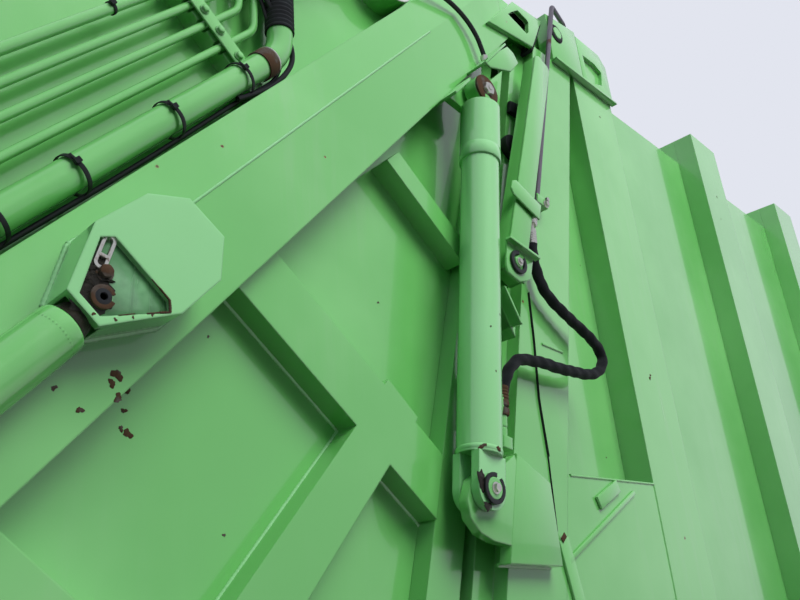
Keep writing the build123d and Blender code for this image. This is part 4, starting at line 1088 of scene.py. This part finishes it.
# flake of rust: its radius wanders round the outline
def flake(x, z, out, width, seed):
    a = around(22)
    wander = 1 + 0.28 * np.sin(2 * a + seed) + 0.2 * np.sin(3 * a + 1.7 * seed) + 0.12 * np.sin(7 * a + seed)
    outline = (x, z) + width / 2 * wander[:, None] * np.stack([np.cos(a), np.sin(a)], axis=1)
    return plate(outline, out - 0.4, out + 0.5, 0.2)


# rust on the rim of the anchor box, from its pin
rimPlaces = slideFlat([(-12, -35), (12, -48), (40, -63), (-32, -10)], anchorPin)
rimChips = [(x, z, 1272, width) for (x, z), width in zip(rimPlaces, (5, 4, 5, 5))]

chipPlaces = {
    "tailgate": [(-3004, 886, 1190, 8), (-2965, 859, 1190, 10), (-2914, 919, 1190, 17), (-2921, 905, 1190, 12),
                 (-2910, 884, 1190, 13), (-2848, 927, 1090, 10), (-2852, 894, 1090, 9), (-2843, 857, 1090, 15),
                 (-2855, 864, 1090, 9), (-2699, 1052, 1090, 5), (-2250, 1224, 1090, 6), (-2660, 700, 1090, 6),
                 *rimChips],
    "compactor_body": [(-1129, 1185, 1190, 12), (-1122, 1196, 1190, 8), (-1094, 2219, 1190, 7), (-11, 2255, 1190, 9),
                       (-37, 2127, 1190, 6), (-1287, 1578, 1102, 4), (-1341, 928, 1102, 5)],
}


def makeChips(places):
    for body, rows in places.items():
        parts = [flake(x, z, out, width, k * 1.3) for k, (x, z, out, width) in enumerate(rows)]
        addPiece("rustChips_" + body, parts, rustySteel, body)


makeChips(chipPlaces)
print("rust chips made")

# finishes of the CAD solids; the others are green enamel
nodeFinish = [
    # the anchor boxes and lift barrels take the paler green, as painted light
    (greenPaintLit, ("anchor_brackets", "lift_barrel_right", "lift_barrel_left")),
    (greenPaintWorn, ("slide_barrels", "guide_beam_right", "guide_beam_left", "loading_sill", "lift_port_right",
                      "lift_port_left")),
    (rodSteel, ("lift_rod_right", "lift_rod_left")),
    (hullSteel, ("hopper_trough",)),
    (floorSteel, ("body_floor",)),
    (wornSteel, ("sweep_panel", "ejector_wall")),
    (chromeRod, ("slide_rods",)),
]


def finishNodes(groups):
    chosen = {node: material for material, nodes in groups for node in nodes}
    for node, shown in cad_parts.items():
        shown.data.materials.clear()
        shown.data.materials.append(chosen.get(node, greenPaint))


finishNodes(nodeFinish)
print("solids finished")

# light, floor and background, in metres
studio = {
    "floorHeight": -0.445,
    "floorHalf": 30.0,
    "floorColour": "#D9D8D4",
    "floorShade": "#3A3E36",    # what the floor gives back to the object
    "floorGlow": 0.2,           # keeps the floor pale to the eye, without light on the object
    "sky": "#E2E5EF",
    "above": "#D3E2F8",         # light from above, and from below the horizon
    "below": "#23281F",
    "level": 0.52,
    "keyPower": 740.0,
    "keyPlace": (-1.2, -6.4, 6.8),
    "keyAim": (-1.2, -0.9, 1.4),
    "keySize": 5.0,
}


# 1 for the rays that the eye sees straight, mirrored or through glass, and 0 for those that light the object
def cameraOrShine(add):
    rays = add("LightPath").node.outputs
    seen = add("Math", rays["Is Camera Ray"], rays["Is Glossy Ray"], operation="MAXIMUM")
    return add("Math", seen, rays["Is Transmission Ray"], operation="MAXIMUM")


# cast concrete, pale and dull, cloudy in patches under a metre wide
def castConcrete(add, look):
    cloud = add("TexNoise", add("TexCoord", output="Object"), 1.3, 5.0, grit)
    pale = add("Mix", cloud, colour(look["floorColour"]), colour(look["floorColour"], 0.93), **tints)
    seen = cameraOrShine(add)
    return dict(Base_Color=add("Mix", seen, colour(look["floorShade"]), pale, **tints), Roughness=0.8,
                Emission_Color=pale, Emission_Strength=add("Math", seen, look["floorGlow"], operation="MULTIPLY"))


def makeStudio(look):
    world = bpy.data.worlds.new("studioWorld")
    bpy.context.scene.world = world
    world.use_nodes = True
    world.node_tree.nodes.clear()
    add = partial(addNode, world.node_tree)
    height = add("SeparateXYZ", add("TexCoord", output="Generated"), output="Z")
    climb = add("MapRange", height, -0.1, 0.3, **smooth)
    shade = add("Mix", climb, colour(look["below"]), colour(look["above"]), **tints)
    lighting = add("Background", shade, look["level"])
    backdrop = add("Background", colour(look["sky"]), 1.0)
    add("OutputWorld", add("MixShader", cameraOrShine(add), lighting, backdrop))

    lamp = bpy.data.lights.new("keyLamp", "AREA")
    lamp.energy, lamp.size = look["keyPower"], look["keySize"]
    key = bpy.data.objects.new("keyLamp", lamp)
    key.location = look["keyPlace"]
    key.visible_glossy = False      # the enamel mirrors the sky alone
    aim = Vector(look["keyAim"]) - Vector(look["keyPlace"])
    key.rotation_euler = aim.to_track_quat("-Z", "Y").to_euler()
    bpy.context.collection.objects.link(key)

    mesh = bpy.data.meshes.new("studioFloor")
    half = look["floorHalf"]
    corners = [(x * half, y * half, look["floorHeight"]) for x, y in ((-1, -1), (1, -1), (1, 1), (-1, 1))]
    mesh.from_pydata(corners, [], [(0, 1, 2, 3)])
    mesh.materials.append(newMaterial("paleConcreteFloor", castConcrete, look))
    floor = bpy.data.objects.new("studioFloor", mesh)
    bpy.context.collection.objects.link(floor)


makeStudio(studio)
bpy.context.scene.view_settings.view_transform = "Standard"
print("studio lit")
